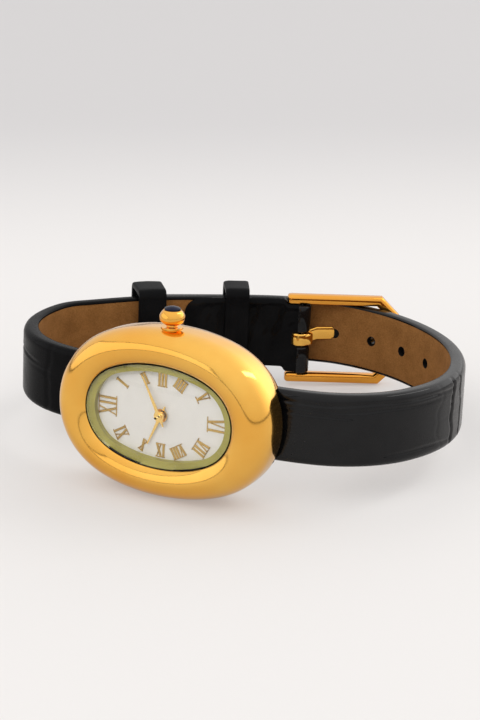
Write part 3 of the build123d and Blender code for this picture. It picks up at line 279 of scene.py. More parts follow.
def use_group(material, group, **values):
    node = material.node_tree.nodes.new("ShaderNodeGroup")
    node.node_tree = group
    for label, value in values.items():
        node.inputs[label].default_value = value
    return node


def finish(name, color, roughness=0.5, metallic=0.0, **sockets):
    """A new material and its shader; sockets are given as Principled names with underscores."""
    material = bpy.data.materials.new(name)
    material.use_nodes = True
    shader = material.node_tree.nodes["Principled BSDF"]
    shader.inputs["Base Color"].default_value = (*color, 1)
    shader.inputs["Roughness"].default_value = roughness
    shader.inputs["Metallic"].default_value = metallic
    for label, value in sockets.items():
        shader.inputs[label.replace("_", " ")].default_value = value
    finishes[name] = material
    return material, shader


def tint(material, shader, factor, dark, light):
    """Base colour that runs from dark to light by a factor socket."""
    ramp = material.node_tree.nodes.new("ShaderNodeValToRGB")
    ramp.color_ramp.elements[0].position = 0.3
    ramp.color_ramp.elements[1].position = 0.7
    ramp.color_ramp.elements[0].color = (*dark, 1)
    ramp.color_ramp.elements[1].color = (*light, 1)
    material.node_tree.links.new(factor, ramp.inputs["Fac"])
    material.node_tree.links.new(ramp.outputs["Color"], shader.inputs["Base Color"])


def relief(material, shader, height, distance, strength=1.0):
    """Bump from a height socket, its distance in metres."""
    bump = material.node_tree.nodes.new("ShaderNodeBump")
    bump.inputs["Distance"].default_value = distance
    bump.inputs["Strength"].default_value = strength
    material.node_tree.links.new(height, bump.inputs["Height"])
    material.node_tree.links.new(bump.outputs["Normal"], shader.inputs["Normal"])


print("finish helper ready")

# %% Metals
def metal(name, dark, light, base, amount, scale=200.0, lines=0.0, coat=0.0):
    """A metal with smudges in its polish and, where asked, fine lines or a clear coat."""
    material, shader = finish(name, light, metallic=1.0, Coat_Weight=coat, Coat_Roughness=0.08)
    tree = material.node_tree
    polish = use_group(material, smudges, Scale=scale, Amount=amount, Base=base)
    tree.links.new(polish.outputs["Roughness"], shader.inputs["Roughness"])
    tint(material, shader, noise(tree, object_place(tree), 90.0), dark, light)
    if lines:
        brushed = use_group(material, fine_lines)
        relief(material, shader, brushed.outputs["Height"], lines)
    return material


metal("polished_gold", (0.90, 0.43, 0.058), (0.955, 0.54, 0.105), 0.10, 0.16, 260.0, coat=0.35)
metal("rose_gold", (0.80, 0.32, 0.04), (0.88, 0.41, 0.065), 0.09, 0.14, 260.0)
metal("gold_trim", (0.80, 0.50, 0.12), (0.92, 0.63, 0.20), 0.2, 0.15, 700.0)
# Painted shade: a darker copy of the trim gold for the numerals, standing in for the dark that the polished
# numerals reflect and the shade on them.
metal("shaded_gold", (0.40, 0.24, 0.05), (0.62, 0.41, 0.11), 0.2, 0.15, 900.0)
metal("steel", (0.55, 0.55, 0.54), (0.68, 0.68, 0.67), 0.28, 0.2, 400.0, lines=0.00001)
metal("brass", (0.66, 0.47, 0.2), (0.76, 0.57, 0.27), 0.25, 0.2, 500.0, lines=0.000006)
metal("nickel_plate", (0.6, 0.59, 0.55), (0.72, 0.71, 0.67), 0.22, 0.2, 500.0, lines=0.000008)
metal("magnet", (0.16, 0.16, 0.17), (0.24, 0.24, 0.25), 0.4, 0.2, 600.0)
metal("copper_wire", (0.5, 0.22, 0.09), (0.66, 0.33, 0.15), 0.3, 0.2, 900.0, lines=0.00002)
print("metals:", ", ".join(sorted(finishes)))

# %% Leather, suede, lacquer, glass and the rest
def grained(name, dark, light, group, depth, roughness, scale, **sockets):
    """A finish whose tone and height come from one group."""
    material, shader = finish(name, light, roughness, **sockets)
    grain = use_group(material, group, Scale=scale)
    tint(material, shader, grain.outputs["Tone"], dark, light)
    relief(material, shader, grain.outputs["Height"], depth)
    return material, shader


def uneven_gloss(material, shader, base, amount, scale):
    polish = use_group(material, smudges, Scale=scale, Amount=amount, Base=base)
    material.node_tree.links.new(polish.outputs["Roughness"], shader.inputs["Roughness"])


leather = grained("black_leather", (0.0025, 0.0025, 0.003), (0.006, 0.006, 0.0065), pores, 0.000012, 0.3,
                  2600.0, Specular_IOR_Level=0.03, Coat_Weight=0.47, Coat_Roughness=0.08)
uneven_gloss(*leather, 0.26, 0.3, 300.0)
# Painted shade: a darker, less glossy copy of the black leather for the buckle half and its flap, which get less
# light than the tail.
shaded = grained("shaded_leather", (0.0022, 0.0022, 0.0026), (0.005, 0.005, 0.0055), pores, 0.000012, 0.3, 2600.0,
                Specular_IOR_Level=0.02, Coat_Weight=0.08, Coat_Roughness=0.08)
uneven_gloss(*shaded, 0.24, 0.3, 300.0)
grained("matt_leather", (0.0025, 0.0025, 0.003), (0.006, 0.006, 0.0065), pores, 0.000012, 0.45, 2600.0,
        Specular_IOR_Level=0.03, Coat_Weight=0.04, Coat_Roughness=0.2)
grained("tan_lining", (0.13, 0.05, 0.010), (0.35, 0.162, 0.050), nap, 0.00006, 0.95, 5200.0,
        Specular_IOR_Level=0.15)
grained("olive_ring", (0.35, 0.30, 0.032), (0.41, 0.36, 0.055), fine_lines, 0.000006, 0.42, 900.0)
grained("white_dial", (0.80, 0.775, 0.72), (0.83, 0.81, 0.765), nap, 0.000004, 0.5, 5000.0)
grained("black_rubber", (0.003, 0.003, 0.003), (0.01, 0.01, 0.01), nap, 0.00001, 0.8, 3000.0,
        Specular_IOR_Level=0.1)
grained("black_plastic", (0.02, 0.02, 0.02), (0.045, 0.045, 0.045), nap, 0.00001, 0.55, 3000.0)
grained("board_green", (0.015, 0.12, 0.05), (0.03, 0.2, 0.09), nap, 0.00001, 0.45, 2500.0)
stone = finish("black_stone", (0.008, 0.009, 0.022), 0.06, Specular_IOR_Level=0.05, Coat_Weight=0.1,
               Coat_Roughness=0.03)
tint(*stone, noise(stone[0].node_tree, object_place(stone[0].node_tree), 900.0), (0.004, 0.005, 0.014),
     (0.012, 0.014, 0.035))
print("finishes:", len(finishes))

# %% [markdown]
# ## Glass that lets the light in
# A pane of real glass shows sharp reflections and hardly dims what is under it. A
# path tracer would make it cast a dark shadow, so light rays on their way to a
# lamp pass it as if it weren't there: that is the Is Shadow Ray mix. The crystal
# is coated against reflections, so its specular level is half of plain glass.

# %% Clear glass
glass, shader = finish("clear_glass", (1.0, 1.0, 1.0), 0.015, Transmission_Weight=1.0, IOR=1.45,
                       Specular_IOR_Level=0.25)
tree = glass.node_tree
glass_dust = use_group(glass, smudges, Scale=300.0, Amount=0.03, Base=0.012)
tree.links.new(glass_dust.outputs["Roughness"], shader.inputs["Roughness"])
open_air = tree.nodes.new("ShaderNodeBsdfTransparent")
either = tree.nodes.new("ShaderNodeMixShader")
ray = tree.nodes.new("ShaderNodeLightPath")
tree.links.new(ray.outputs["Is Shadow Ray"], either.inputs[0])
tree.links.new(shader.outputs["BSDF"], either.inputs[1])
tree.links.new(open_air.outputs["BSDF"], either.inputs[2])
tree.links.new(either.outputs["Shader"], tree.nodes["Material Output"].inputs["Surface"])
print("glass ready")

# %% Every CAD node gets the finish of its slot
slot_of = {part["node"]: part["material_slot"] for part in frame["record"]["subparts"]}
for name, node in frame["nodes"].items():
    node.data.materials.clear()
    node.data.materials.append(finishes[slot_of[name]])
print("dressed", len(slot_of), "nodes")


def dress(piece, slot, body, *replaced):
    """Gives a new piece its finish, its body and the nodes it stands for."""
    piece.data.materials.clear()
    piece.data.materials.append(finishes[slot])
    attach(piece, body)
    if replaced:
        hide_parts(*replaced)
    return piece


# %% [markdown]
# ## The case: an oval whose bend never jumps
# CAD draws the oval from four arcs. On a mirror finish the eye sees where arcs
# meet, because reflections kink there. So the visible case uses an oval whose
# radius grows smoothly from its ends to its sides. It has the same length and
# width. The profile is a quarter dome that rolls over into the opening.

# %% A smooth oval
def smooth_oval(long_half, short_half, fullness=18):
    """A function from outward angles to points of a smooth oval."""
    angle = np.linspace(0, math.pi / 2, 4001)
    share = np.sin(angle) ** fullness
    step = angle[1]

    def run(values):
        return np.concatenate([[0], np.cumsum((values[1:] + values[:-1]) / 2 * step)])

    side_x, side_y = run(share * np.sin(angle)), run(share * np.cos(angle))
    extra = (long_half - short_half) / (side_x[-1] - side_y[-1])
    end = short_half - extra * side_y[-1]
    x = long_half - end * (1 - np.cos(angle)) - extra * side_x
    y = end * np.sin(angle) + extra * side_y

    def points(outward, grow=0.0):
        c, s = np.cos(outward), np.sin(outward)
        folded = np.arctan2(abs(s), abs(c))
        px = np.sign(c) * np.interp(folded, angle, x) + grow * c
        py = np.sign(s) * np.interp(folded, angle, y) + grow * s
        return np.stack([px, py], 1)

    return points


case_long, case_short = 16.25, 11.73
opening_long, opening_short = 11.25, 7.37
case_oval = smooth_oval(case_long, case_short)
opening_oval = smooth_oval(opening_long, opening_short, 12)
cavity_oval = smooth_oval(11.5, 7.7, 12)
seat_oval = smooth_oval(12.0, 8.95, 8)

# Outward angles spaced so that the points lie about evenly along the case.
dense = np.linspace(0, 2 * math.pi, 7201)
line = case_oval(dense)
passed = np.concatenate([[0], np.cumsum(np.hypot(*np.diff(line, axis=0).T))])
around = np.interp(np.linspace(0, passed[-1], 288, endpoint=False), passed, dense)
print("oval of", round(passed[-1], 1), "mm around")

# %% The case profile, ring by ring
equator_z, crest_z, rim_z, back_z = -0.1, 3.8, 2.88, -4.6
crest_share, roll_angle, lip_overhang = 0.58, math.radians(68), 0.1
foot_inset, foot_power = 1.25, 3.0
ledge_z, seat_z = 2.2, -3.75


def at_height(xy, z):
    return np.column_stack([xy, np.full(len(xy), z)])


def bezel_ring(share, z):
    """A ring part of the way from the case's edge to the opening's lip."""
    inner = opening_oval(around, -lip_overhang)
    return at_height(case_oval(around) * (1 - share) + inner * share, z)


case_rings = []
for t in np.linspace(1, 0, 14, endpoint=False):
    inset = foot_inset * (1 - math.sqrt(max(0.0, 1 - t ** foot_power)))
    case_rings.append(at_height(case_oval(around, -inset), equator_z + (back_z - equator_z) * t))
for a in np.linspace(0, math.pi / 2, 30):
    climb = (crest_z - equator_z) * math.sin(a)
    case_rings.append(bezel_ring(crest_share * (1 - math.cos(a)), equator_z + climb))
for a in np.linspace(0, roll_angle, 14)[1:]:
    share = crest_share + (1 - crest_share) * math.sin(a) / math.sin(roll_angle)
    drop = (1 - math.cos(a)) / (1 - math.cos(roll_angle))
    case_rings.append(bezel_ring(share, crest_z + (rim_z - crest_z) * drop))
case_rings.append(at_height(opening_oval(around, -lip_overhang * 0.4), rim_z - 0.1))
case_rings.append(at_height(opening_oval(around), rim_z - 0.2))
for oval, z in ((opening_oval, ledge_z), (cavity_oval, ledge_z), (cavity_oval, seat_z), (seat_oval, seat_z),
                (seat_oval, back_z)):
    case_rings.append(at_height(oval(around), z))
case = make_piece("polished_case", *skin(case_rings, closed=True))
print("case mesh", len(case.data.polygons), "faces")

# %% Cut the strap spaces, the bar holes and the crown's seat
lug_start, lug_half, lug_top_z = 12.42, 5.15, -2.12
bar_x, bar_z, bar_hole = 13.75, -3.45, 0.42
stem_z = -0.43
beyond, below, bar_reach = 20, -9, 5.6
stem_from, stem_bore, seat_from, seat_bore = 7, 0.8, 11.35, 1.5
to_three_side = (0, 1, 0)
cutters = []
for side in (1, -1):
    near, far = sorted((side * lug_start, side * beyond))
    cutters.append(block((near, -lug_half, below), (far, lug_half, lug_top_z)))
    cutters.append(rod((side * bar_x, -bar_reach, bar_z), to_three_side, 2 * bar_reach, bar_hole))
cutters.append(rod((0, stem_from, stem_z), to_three_side, 8, stem_bore, 40))
cutters.append(rod((0, seat_from, stem_z), to_three_side, 4, seat_bore, 48))
cut_away(case, cutters)
dress(case, "polished_gold", "watch", "case_body")
print("case cut:", len(case.data.polygons), "faces")

# %% [markdown]
# ## The crown
# The crown is a ball with a narrow neck, turned in one piece. Turned things are
# profiles spun around an axis: a list of heights and radii says it all. The neck
# matters, because the dark line under the ball is what makes it look loose from
# the case. The black stone on top is the CAD's own dome.

# %% Spin the crown's profile
crown_foot_y, neck_radius, neck_end_y = 11.98, 0.78, 12.25
ball_y, under_rise, over_rise, ball_radius, seat_y, seat_radius = 13.15, 1.15, 1.4, 1.74, 14.18, 1.14
profile = [(crown_foot_y, 0.2), (crown_foot_y, neck_radius), (neck_end_y, neck_radius)]
lowest, highest = math.asin((neck_end_y - ball_y) / under_rise) * 0.95, math.asin((seat_y - ball_y) / over_rise)
for a in np.linspace(lowest, highest, 30):
    rise = under_rise if a < 0 else over_rise
    profile.append((ball_y + rise * math.sin(a), ball_radius * math.cos(a)))
profile += [(seat_y + 0.03, seat_radius + 0.04), (seat_y, seat_radius), (seat_y - 0.1, 0.2)]
spin = full_turn(64)
crown_rings = [[(r * math.cos(a), y, stem_z + r * math.sin(a)) for a in spin] for y, r in profile]
crown = make_piece("turned_crown", *skin(crown_rings), sharp_angle=math.radians(30))
dress(crown, "polished_gold", "crown_group", "crown")
print("crown faces", len(crown.data.polygons))

# %% [markdown]
# ## The hour numerals
# The numerals are thin metal, pressed and polished, and each is a few straight
# strokes between two serif lines. A stroke is a low bar whose upper edges are
# bevelled: the bevel is what glints when the dial is seen at a slant.

# %% Strokes of a numeral
numeral_texts = ("XII", "I", "II", "III", "IIII", "V", "VI", "VII", "VIII", "IX", "X", "XI")
numeral_insets, numeral_heights = (1.6, 1.292, 1.236, 1.17), (2.7, 1.95, 1.6, 1.8)
letter_width_shares = {"I": 0.27, "V": 0.52, "X": 0.52}
thick_stroke, thin_stroke, serif_stroke, stroke_bevel = 0.32, 0.16, 0.12, 0.05
dial_z, numeral_rise = 1.37, 0.14
rim_long, rim_short = 9.9, 6.1


def letter_strokes(text, tall):
    """Strokes of one numeral about its own middle: two ends and a width each."""
    widths = [letter_width_shares[letter] * tall for letter in text]
    total, half, strokes = sum(widths), tall / 2, []
    x = -total / 2
    for letter, width in zip(text, widths):
        left, middle, right = x + width / 6, x + width / 2, x + width * 5 / 6
        if letter == "I":
            strokes.append(((middle, -half), (middle, half), thick_stroke))
        if letter == "V":
            strokes.append(((left, half), (middle, -half), thick_stroke))
            strokes.append(((middle, -half), (right, half), thin_stroke))
        if letter == "X":
            strokes.append(((left, half), (right, -half), thick_stroke))
            strokes.append(((left, -half), (right, half), thin_stroke))
        x += width
    return strokes + [((-total / 2, y), (total / 2, y), serif_stroke) for y in (-half, half)]


def bevelled_bar(a, b, wide, low, high):
    """Rings of a low bar between two places, narrower at its top."""
    a, b = np.array(a), np.array(b)
    along = (b - a) / np.linalg.norm(b - a)
    side = np.array([-along[1], along[0]])
    rings = []
    for inset, z in ((0, low), (0, high - stroke_bevel), (stroke_bevel, high)):
        half, reach = wide / 2 - inset, wide / 8 - inset
        corners = (a - along * reach - side * half, b + along * reach - side * half,
                   b + along * reach + side * half, a - along * reach + side * half)
        rings.append([(*corner, z) for corner in corners])
    return rings


points, faces = [], []
for k, text in enumerate(numeral_texts):
    turn = math.radians(180 - 30 * k)
    step = min(k % 6, 6 - k % 6)
    reach = 1 / math.hypot(math.cos(turn) / rim_long, math.sin(turn) / rim_short) - numeral_insets[step]
    up, right = np.array([math.cos(turn), math.sin(turn)]), np.array([math.sin(turn), -math.cos(turn)])
    for start, end, wide in letter_strokes(text, numeral_heights[step]):
        a, b = ((reach + y) * up + x * right for x, y in (start, end))
        bar_points, bar_faces = skin(bevelled_bar(a, b, wide, dial_z, dial_z + numeral_rise))
        faces += [tuple(i + len(points) for i in face) for face in bar_faces]
        points += bar_points.tolist()
numerals = make_piece("applied_numerals", points, faces, sharp_angle=math.radians(20))
dress(numerals, slot_of["hour_numerals"], "watch", "hour_numerals")
# The numerals get the darker gold: painted shade for the dark they reflect.
numerals.data.materials[0] = finishes["shaded_gold"]
print("numerals:", len(faces), "faces")

# %% [markdown]
# ## The glass
# A lens shows every facet of its surface, because it bends what lies behind. The
# CAD's glass is lofted from a few ovals, and through it the numerals would look
# wavy. So the visible glass is drawn again with many rings: a low dome outside,
# the same dome inside, and a plain edge that sits in the gasket.

# %% A smooth domed glass
pane_oval = smooth_oval(opening_long - 0.275, opening_short - 0.275, 12)
hollow_oval = smooth_oval(rim_long, rim_short, 12)
pane_edge_z, dome_rise, pane_thickness = 2.85, 0.55, 0.65
smallest_share, dome_rings = 0.02, 24
glass_rings = [at_height(pane_oval(around), ledge_z)]
for oval, edge_z, shares in ((pane_oval, pane_edge_z, (1, smallest_share)),
                             (hollow_oval, pane_edge_z - pane_thickness, (smallest_share, 1))):
    for share in np.linspace(*shares, dome_rings):
        glass_rings.append(at_height(oval(around) * share, edge_z + dome_rise * (1 - share ** 2)))
dome_glass = make_piece("dome_glass", *skin(glass_rings, closed=True))
dress(dome_glass, "clear_glass", "watch", "crystal")
print("glass faces", len(dome_glass.data.polygons))

# %% [markdown]
# ## The strap's route
# A strap is a flat sheet that follows one line. Seen from above the loop, that
# line is a chain of arcs, the same arcs as in the CAD. A point on the strap has
# three simple numbers: how far along, how far across and how deep. Drawing in
# those numbers keeps the layers parallel, as real leather is. The buckle has sunk
# a little on the strap and stands on the floor, so the strap rides up inside it.

# %% Arcs, and places along them
# Degrees around the middle of the loop, and the millimetres that the strap rides up there.
loop_middle_y = 24
lift_marks = ((0, 0), (25, 0.03), (42, 0.1), (56, 0.2), (70, 0.27), (84, 0.62), (96, 0.8), (106, 0.84),
              (122, 0.74), (139, 0.67), (158, 0.67), (168, 0.5), (176, 0.25), (188, 0.0), (360, 0))
lift_turns = np.linspace(0, 360, 361)
lift_sizes = np.interp(lift_turns, *zip(*lift_marks))
for _ in range(3):
    lift_sizes = np.convolve(np.pad(lift_sizes, 4, mode="edge"), np.ones(9) / 9, mode="valid")


def arc_end(arc):
    x, y, heading, radius, bend = arc
    h, k = math.radians(heading), math.radians(heading + bend)
    return x + radius * (math.sin(k) - math.sin(h)), y - radius * (math.cos(k) - math.cos(h))


def arc_length(arc):
    return arc[3] * math.radians(arc[4])


def chain(x, y, heading, radii, bends):
    """Arcs one after another, each turning left: start, heading, radius and turn of each."""
    arcs = []
    for radius, bend in zip(radii, bends):
        arcs.append((x, y, heading, radius, bend))
        x, y = arc_end(arcs[-1])
        heading += bend
    return arcs


def lift(x, y):
    """How far the strap rides up at a place of its route, where the buckle has sunk down on it."""
    turn = math.degrees(math.atan2(y - loop_middle_y, x)) % 360
    return float(np.interp(turn, lift_turns, lift_sizes))


def strap_point(arcs, along, across, depth):
    """A drawing point from distances along, across and into a strap."""
    for arc in arcs:
        length = arc_length(arc)
        if along <= length or arc is arcs[-1]:
            break
        along -= length
    x, y, heading, radius, bend = arc
    h = math.radians(heading)
    k = h + along / radius
    px = x + radius * (math.sin(k) - math.sin(h)) - depth * math.sin(k)
    py = y - radius * (math.cos(k) - math.cos(h)) + depth * math.cos(k)
    return (px, across + lift(px, py), -py)


tail_arcs = chain(13.4, 3.05, 4.27, (33.67, 15.67, 22.24, 30.62, 16.82, 88.44),
                  (11.06, 49.95, 39.85, 53.9, 42.57, 21.62))
tail_length = sum(arc_length(arc) for arc in tail_arcs)


def join(start, heading_a, end, heading_b):
    """Two arcs that leave one place and heading and arrive at another without a corner."""
    a, b = np.array(start), np.array(end)
    ta, tb = (np.array([math.cos(math.radians(h)), math.sin(math.radians(h))]) for h in (heading_a, heading_b))
    spread = 2 * (1 - ta @ tb)
    along = (b - a) @ (ta + tb)
    reach = (math.sqrt(along ** 2 + spread * ((b - a) @ (b - a))) - along) / spread
    middle = (a + b + reach * (ta - tb)) / 2
    chord = math.degrees(math.atan2(*(middle - a)[::-1]))
    first = 2 * ((chord - heading_a + 180) % 360 - 180)
    bends = (first, heading_b - heading_a - first)
    chords = (middle - a, b - middle)
    radii = [np.linalg.norm(c) / (2 * math.sin(math.radians(bend) / 2)) for c, bend in zip(chords, bends)]
    return chain(*start, heading_a, radii, bends)


# The buckle half lies along the tail, one strap and a small gap deeper, and meets the
# case on arcs that are drawn back from it. Two more arcs join the two stretches.
bar_at, layer_depth = 80.1, 1.9
last = tail_arcs[-1]
past_bend = math.degrees((bar_at - tail_length + arc_length(last)) / last[3])
lap_x, _, lap_z = strap_point(tail_arcs, bar_at, 0, layer_depth)
lap = chain(lap_x, -lap_z, last[2] + past_bend, [last[3] - layer_depth], [last[4] - past_bend])
x, y, heading = -13.4, 3.05, 355.17
case_side = []
for radius, bend in zip((44.82, 15.22, 16.38), (8.1, 30.9, 55.36)):
    x, y = arc_end((x, y, heading, radius, -bend))
    heading -= bend
    case_side.insert(0, (x, y, heading, radius, bend))
buckle_arcs = lap + join(arc_end(lap[0]), lap[0][2] + lap[0][4], (x, y), heading) + case_side
buckle_length = sum(arc_length(arc) for arc in buckle_arcs)
print("tail", round(tail_length, 1), "mm, buckle half", round(buckle_length, 1), "mm")

# %% [markdown]
# ## Embossed leather
# The strap is calf leather pressed with a large scale pattern, then lacquered. On
# such a strap the scales are wide and shallow: a few strong creases run across,
# thinner ones run along near the edges. The leather that a crease pushes aside
# stands up as a low lip beside it, and that lip is what catches the light. So a
# crease is real geometry: a valley with two lips along a wavy line. The pores
# between them are only bump.

# %% Creases pressed into the leather
def wave(value, seed, scale=0.35, size=1.0):
    """A smooth repeatable wobble."""
    return size * (math.sin(value * scale + seed) + 0.5 * math.sin(value * scale * 2.3 + seed * 1.7)) / 1.5


def valley(x):
    """Depth across a crease: a narrow valley between two low, wide lips."""
    return 1.35 * math.exp(-x * x) - 0.35 * math.exp(-x * x / 5)


def window(value, low, high, softness):
    """One between two values, and zero beyond them."""
    return 1 / (1 + math.exp((low - value) * softness)) / (1 + math.exp((value - high) * softness))


def cross_crease(along, across, at, slant, width, deep, low=-9.0, high=9.0):
    """Depth of a crease that runs across the strap."""
    line = at + slant * across + wave(across, at, 0.9, 0.35)
    return deep * window(across, low, high, 4.0) * valley((along - line) / width)


def long_crease(along, across, begin, end, at, width, deep):
    """Depth of a crease that runs along the strap."""
    line = at + wave(along, at, 0.25, 0.22)
    return deep * window(along, begin, end, 1.5) * valley((across - line) / width)


def scale_pattern(along, across, seed, deep, spacing=13.0):
    """The regular part of the press: broad scales with soft borders."""
    row = math.floor(along / spacing + 0.5)
    border = along - row * spacing - wave(across, seed + row * 2.1, 0.8, 0.9)
    split = across - wave(along, seed + 4.0, 0.16, 1.4) - 2.4 * math.sin(row * 2.6 + seed)
    inside = min(1.0, abs(border) / 1.2)
    return deep * (valley(border / 0.3) + 0.6 * inside * valley(split / 0.25))


tail_creases = (
    (cross_crease, 12.2, -0.05, 0.3, 0.04), (cross_crease, 29.7, 0.03, 0.34, 0.22),
    (cross_crease, 33.2, -0.06, 0.3, 0.2), (long_crease, 1, 30, 3.7, 0.26, 0.15),
    (long_crease, 3, 27, 2.9, 0.3, 0.11), (long_crease, 1, 12, 2.2, 0.3, 0.08),
    (long_crease, 16, 29, -3.5, 0.26, 0.11), (long_crease, 34, 52, 1.2, 0.3, 0.08),
    (long_crease, 36, 60, -2.4, 0.3, 0.07),
)
buckle_creases = (
    (cross_crease, 60.8, 0.05, 0.45, 0.07), (long_crease, 42, 57.5, 1.9, 0.24, 0.17),
    (long_crease, 56, 62, 0.9, 0.3, 0.05), (cross_crease, 44.5, 0.05, 0.28, 0.1),
    (cross_crease, 31.0, 0.05, 0.3, 0.06),
)
tail_pattern, buckle_pattern = (1.0, 0.03), (3.0, 0.008)


def press_depth(along, across, creases, pattern):
    """Depth of the whole pattern at one place."""
    pressed = sum(crease(along, across, *sizes) for crease, *sizes in creases)
    return scale_pattern(along, across, *pattern) + pressed


print("creases:", len(tail_creases) + len(buckle_creases))

# %% [markdown]
# ## Strap halves
# The black leather is turned over the edge, so from inside the loop a dark rim
# frames the tan lining. A strap like this is padded: a soft filler under the
# leather raises the middle, the shoulders fall away to thin edges, and the filler
# runs out where the strap has to lie flat in the keepers. So the section is a
# crowned band, and its crown follows the filler along the strap.

# %% The black outer leather of each half
LEATHER, LINING = 1.0, 0.8
near_half, tail_far_half, buckle_far_half = 5.0, 4.88, 5.3
near_depth, far_depth = 3.05, 46.0
turned_edge, edge_depth, shoulder, filler = 0.42, 0.42, 1.1, 0.45
# The rim rolls under: millimetres in from the edge, and depth.
rim_profile = ((0.01, 1.25), (0.08, 1.58), (0.2, 1.7), (turned_edge, 1.66), (turned_edge, LEATHER + 0.02))


def half_width(arcs, along, far_half):
    """Half width of a strap half, which tapers with the distance from the case."""
    depth = -strap_point(arcs, along, 0, 0)[2]
    return near_half + (far_half - near_half) * (depth - near_depth) / (far_depth - near_depth)


def leather_section(half, pad):
    """Across, depth and share of the press around the turned leather, outside first."""
    points = []
    flat = half - shoulder
    shoulder_turn = np.linspace(0, math.pi / 2, 9)[1:]
    for u in np.linspace(-1, 1, 55):
        points.append((u * flat, -pad, 1.0))
    side = [(flat + shoulder * math.sin(a), -pad + (pad + edge_depth) * (1 - math.cos(a)), math.cos(a))
            for a in shoulder_turn]
    rim = [(half - inward, depth, 0) for inward, depth in rim_profile]
    return points + side + rim + [(-a, d, pressed) for a, d, pressed in reversed(side + rim)]


def strap_leather(name, arcs, begin, end, far_half, creases, pattern, pad, step=0.3, limit=None):
    """The outer leather between two distances along a half."""
    rings = []
    for along in np.linspace(begin, end, int((end - begin) / step) + 1):
        half = half_width(arcs, along, far_half)
        if limit:
            half = limit(along, half)
        ring = []
        for across, depth, pressed in leather_section(half, pad(along)):
            if pressed:
                depth += pressed * press_depth(along, across, creases, pattern)
            ring.append(strap_point(arcs, along, across, depth))
        rings.append(ring)
    return make_piece(name, *skin(rings), sharp_angle=math.radians(60))


def tail_pad(along):
    """The tail's filler: thin at the case, gone before the first hole."""
    return filler * window(along, 3.0, 62.0, 0.6)


def buckle_pad(along):
    """The buckle half's filler: it starts where the tail's tip ends."""
    return filler * window(along, 37.0, buckle_length - 2.5, 0.7)


tip_length, tip_half = 5.0, 1.3
rail_step, rail_end, rail_slope = 0.65, 2.7, 0.6


def slim(along, half):
    """The buckle half steps in where it goes between the buckle's rails."""
    return half - rail_step * min(1.0, max(0.0, (rail_end - along) / rail_slope))


def pointed(along, half):
    """Narrows the last few millimetres of the tail to a blunt point."""
    left = tail_length - along
    return min(half, tip_half + (near_half - tip_half) * max(left, 0) / tip_length)


tail_leather = strap_leather("tail_leather", tail_arcs, 0, tail_length, tail_far_half, tail_creases,
                             tail_pattern, tail_pad, limit=pointed)
buckle_leather = strap_leather("buckle_leather", buckle_arcs, 0, buckle_length, buckle_far_half, buckle_creases,
                               buckle_pattern, buckle_pad, limit=slim)
print("leather faces", len(tail_leather.data.polygons), len(buckle_leather.data.polygons))

# %% The tan lining of each half
def strap_lining(name, arcs, begin, end, far_half, seed, step=0.4, limit=None):
    """A thin soft band between the turned edges."""
    rings = []
    for along in np.linspace(begin, end, int((end - begin) / step) + 1):
        half = half_width(arcs, along, far_half)
        if limit:
            half = limit(along, half)
        half -= turned_edge + 0.02
        ring = [(u * half, LEATHER + 0.03) for u in np.linspace(-1, 1, 9)]
        for u in np.linspace(1, -1, 33):
            soft = 0.02 * wave(along + 3 * u, seed, 0.7) + 0.02 * wave(along * 0.5 - 5 * u, seed + 2, 0.9)
            ring.append((u * half, LEATHER + LINING - 0.05 - 0.12 * abs(u) ** 8 + soft))
        rings.append([strap_point(arcs, along, across, depth) for across, depth in ring])
    return make_piece(name, *skin(rings), sharp_angle=math.radians(60))


lining_start, tip_margin, bar_margin = 3.0, 0.6, 1.9
tail_lining = strap_lining("tail_suede", tail_arcs, lining_start, tail_length - tip_margin, tail_far_half, 1.0,
                           limit=pointed)
buckle_lining = strap_lining("buckle_suede", buckle_arcs, bar_margin, buckle_length - lining_start,
                             buckle_far_half, 5.0, limit=slim)
print("lining faces", len(tail_lining.data.polygons), len(buckle_lining.data.polygons))

# %% Punch the holes of the tail
bar_spot = (-1.219676, 44.018511)
tongue_direction = 38.0
hole_at, hole_spacing, hole_radius, punch_radius, hole_sides = 74.6, 6.8, 0.75, 0.58, 28
hole_numbers = (-2, -1, 0, 1, 2, 3)
strap_lift, passage_half, passage_low, passage_high, passage_reach = 0.62, 1.05, 0.18, 0.78, (2.5, 12.0)


def tongue_place(distance, across, height):
    """Drawing point beside the tongue: from the bar along it, across, and outward."""
    h = math.radians(tongue_direction)
    return (bar_spot[0] + distance * math.cos(h) - height * math.sin(h), across,
            -(bar_spot[1] + distance * math.sin(h) + height * math.cos(h)))


def passage_cutter():
    """A slot through both layers for the tongue, which slants up with the strap."""
    corners = ((-passage_half, passage_low), (passage_half, passage_low), (passage_half, passage_high),
               (-passage_half, passage_high))
    ends = [[tongue_place(distance, across + strap_lift, height) for across, height in corners]
            for distance in passage_reach]
    return make_piece("cutter", *skin(ends))


def hole_cutter(k, radius):
    """A round punch through the strap, k holes from the one in use."""
    along = hole_at - k * hole_spacing
    start, end = (np.array(strap_point(tail_arcs, along, 0, depth)) for depth in (-1.5, 3.5))
    return rod(start, end - start, np.linalg.norm(end - start), radius, hole_sides)


for piece, radius in ((tail_leather, punch_radius), (tail_lining, hole_radius)):
    cut_away(piece, [hole_cutter(k, radius) for k in hole_numbers] + [passage_cutter()])
dress(tail_leather, "black_leather", "watch", "tail_strap_leather")
dress(tail_lining, "tan_lining", "watch", "tail_strap_lining")
dress(buckle_leather, "black_leather", "watch", "buckle_strap_leather")
# The buckle half gets the darker copy of the leather: painted shade.
buckle_leather.data.materials[0] = finishes["shaded_leather"]
dress(buckle_lining, "tan_lining", "watch", "buckle_strap_lining")
print("holes punched")
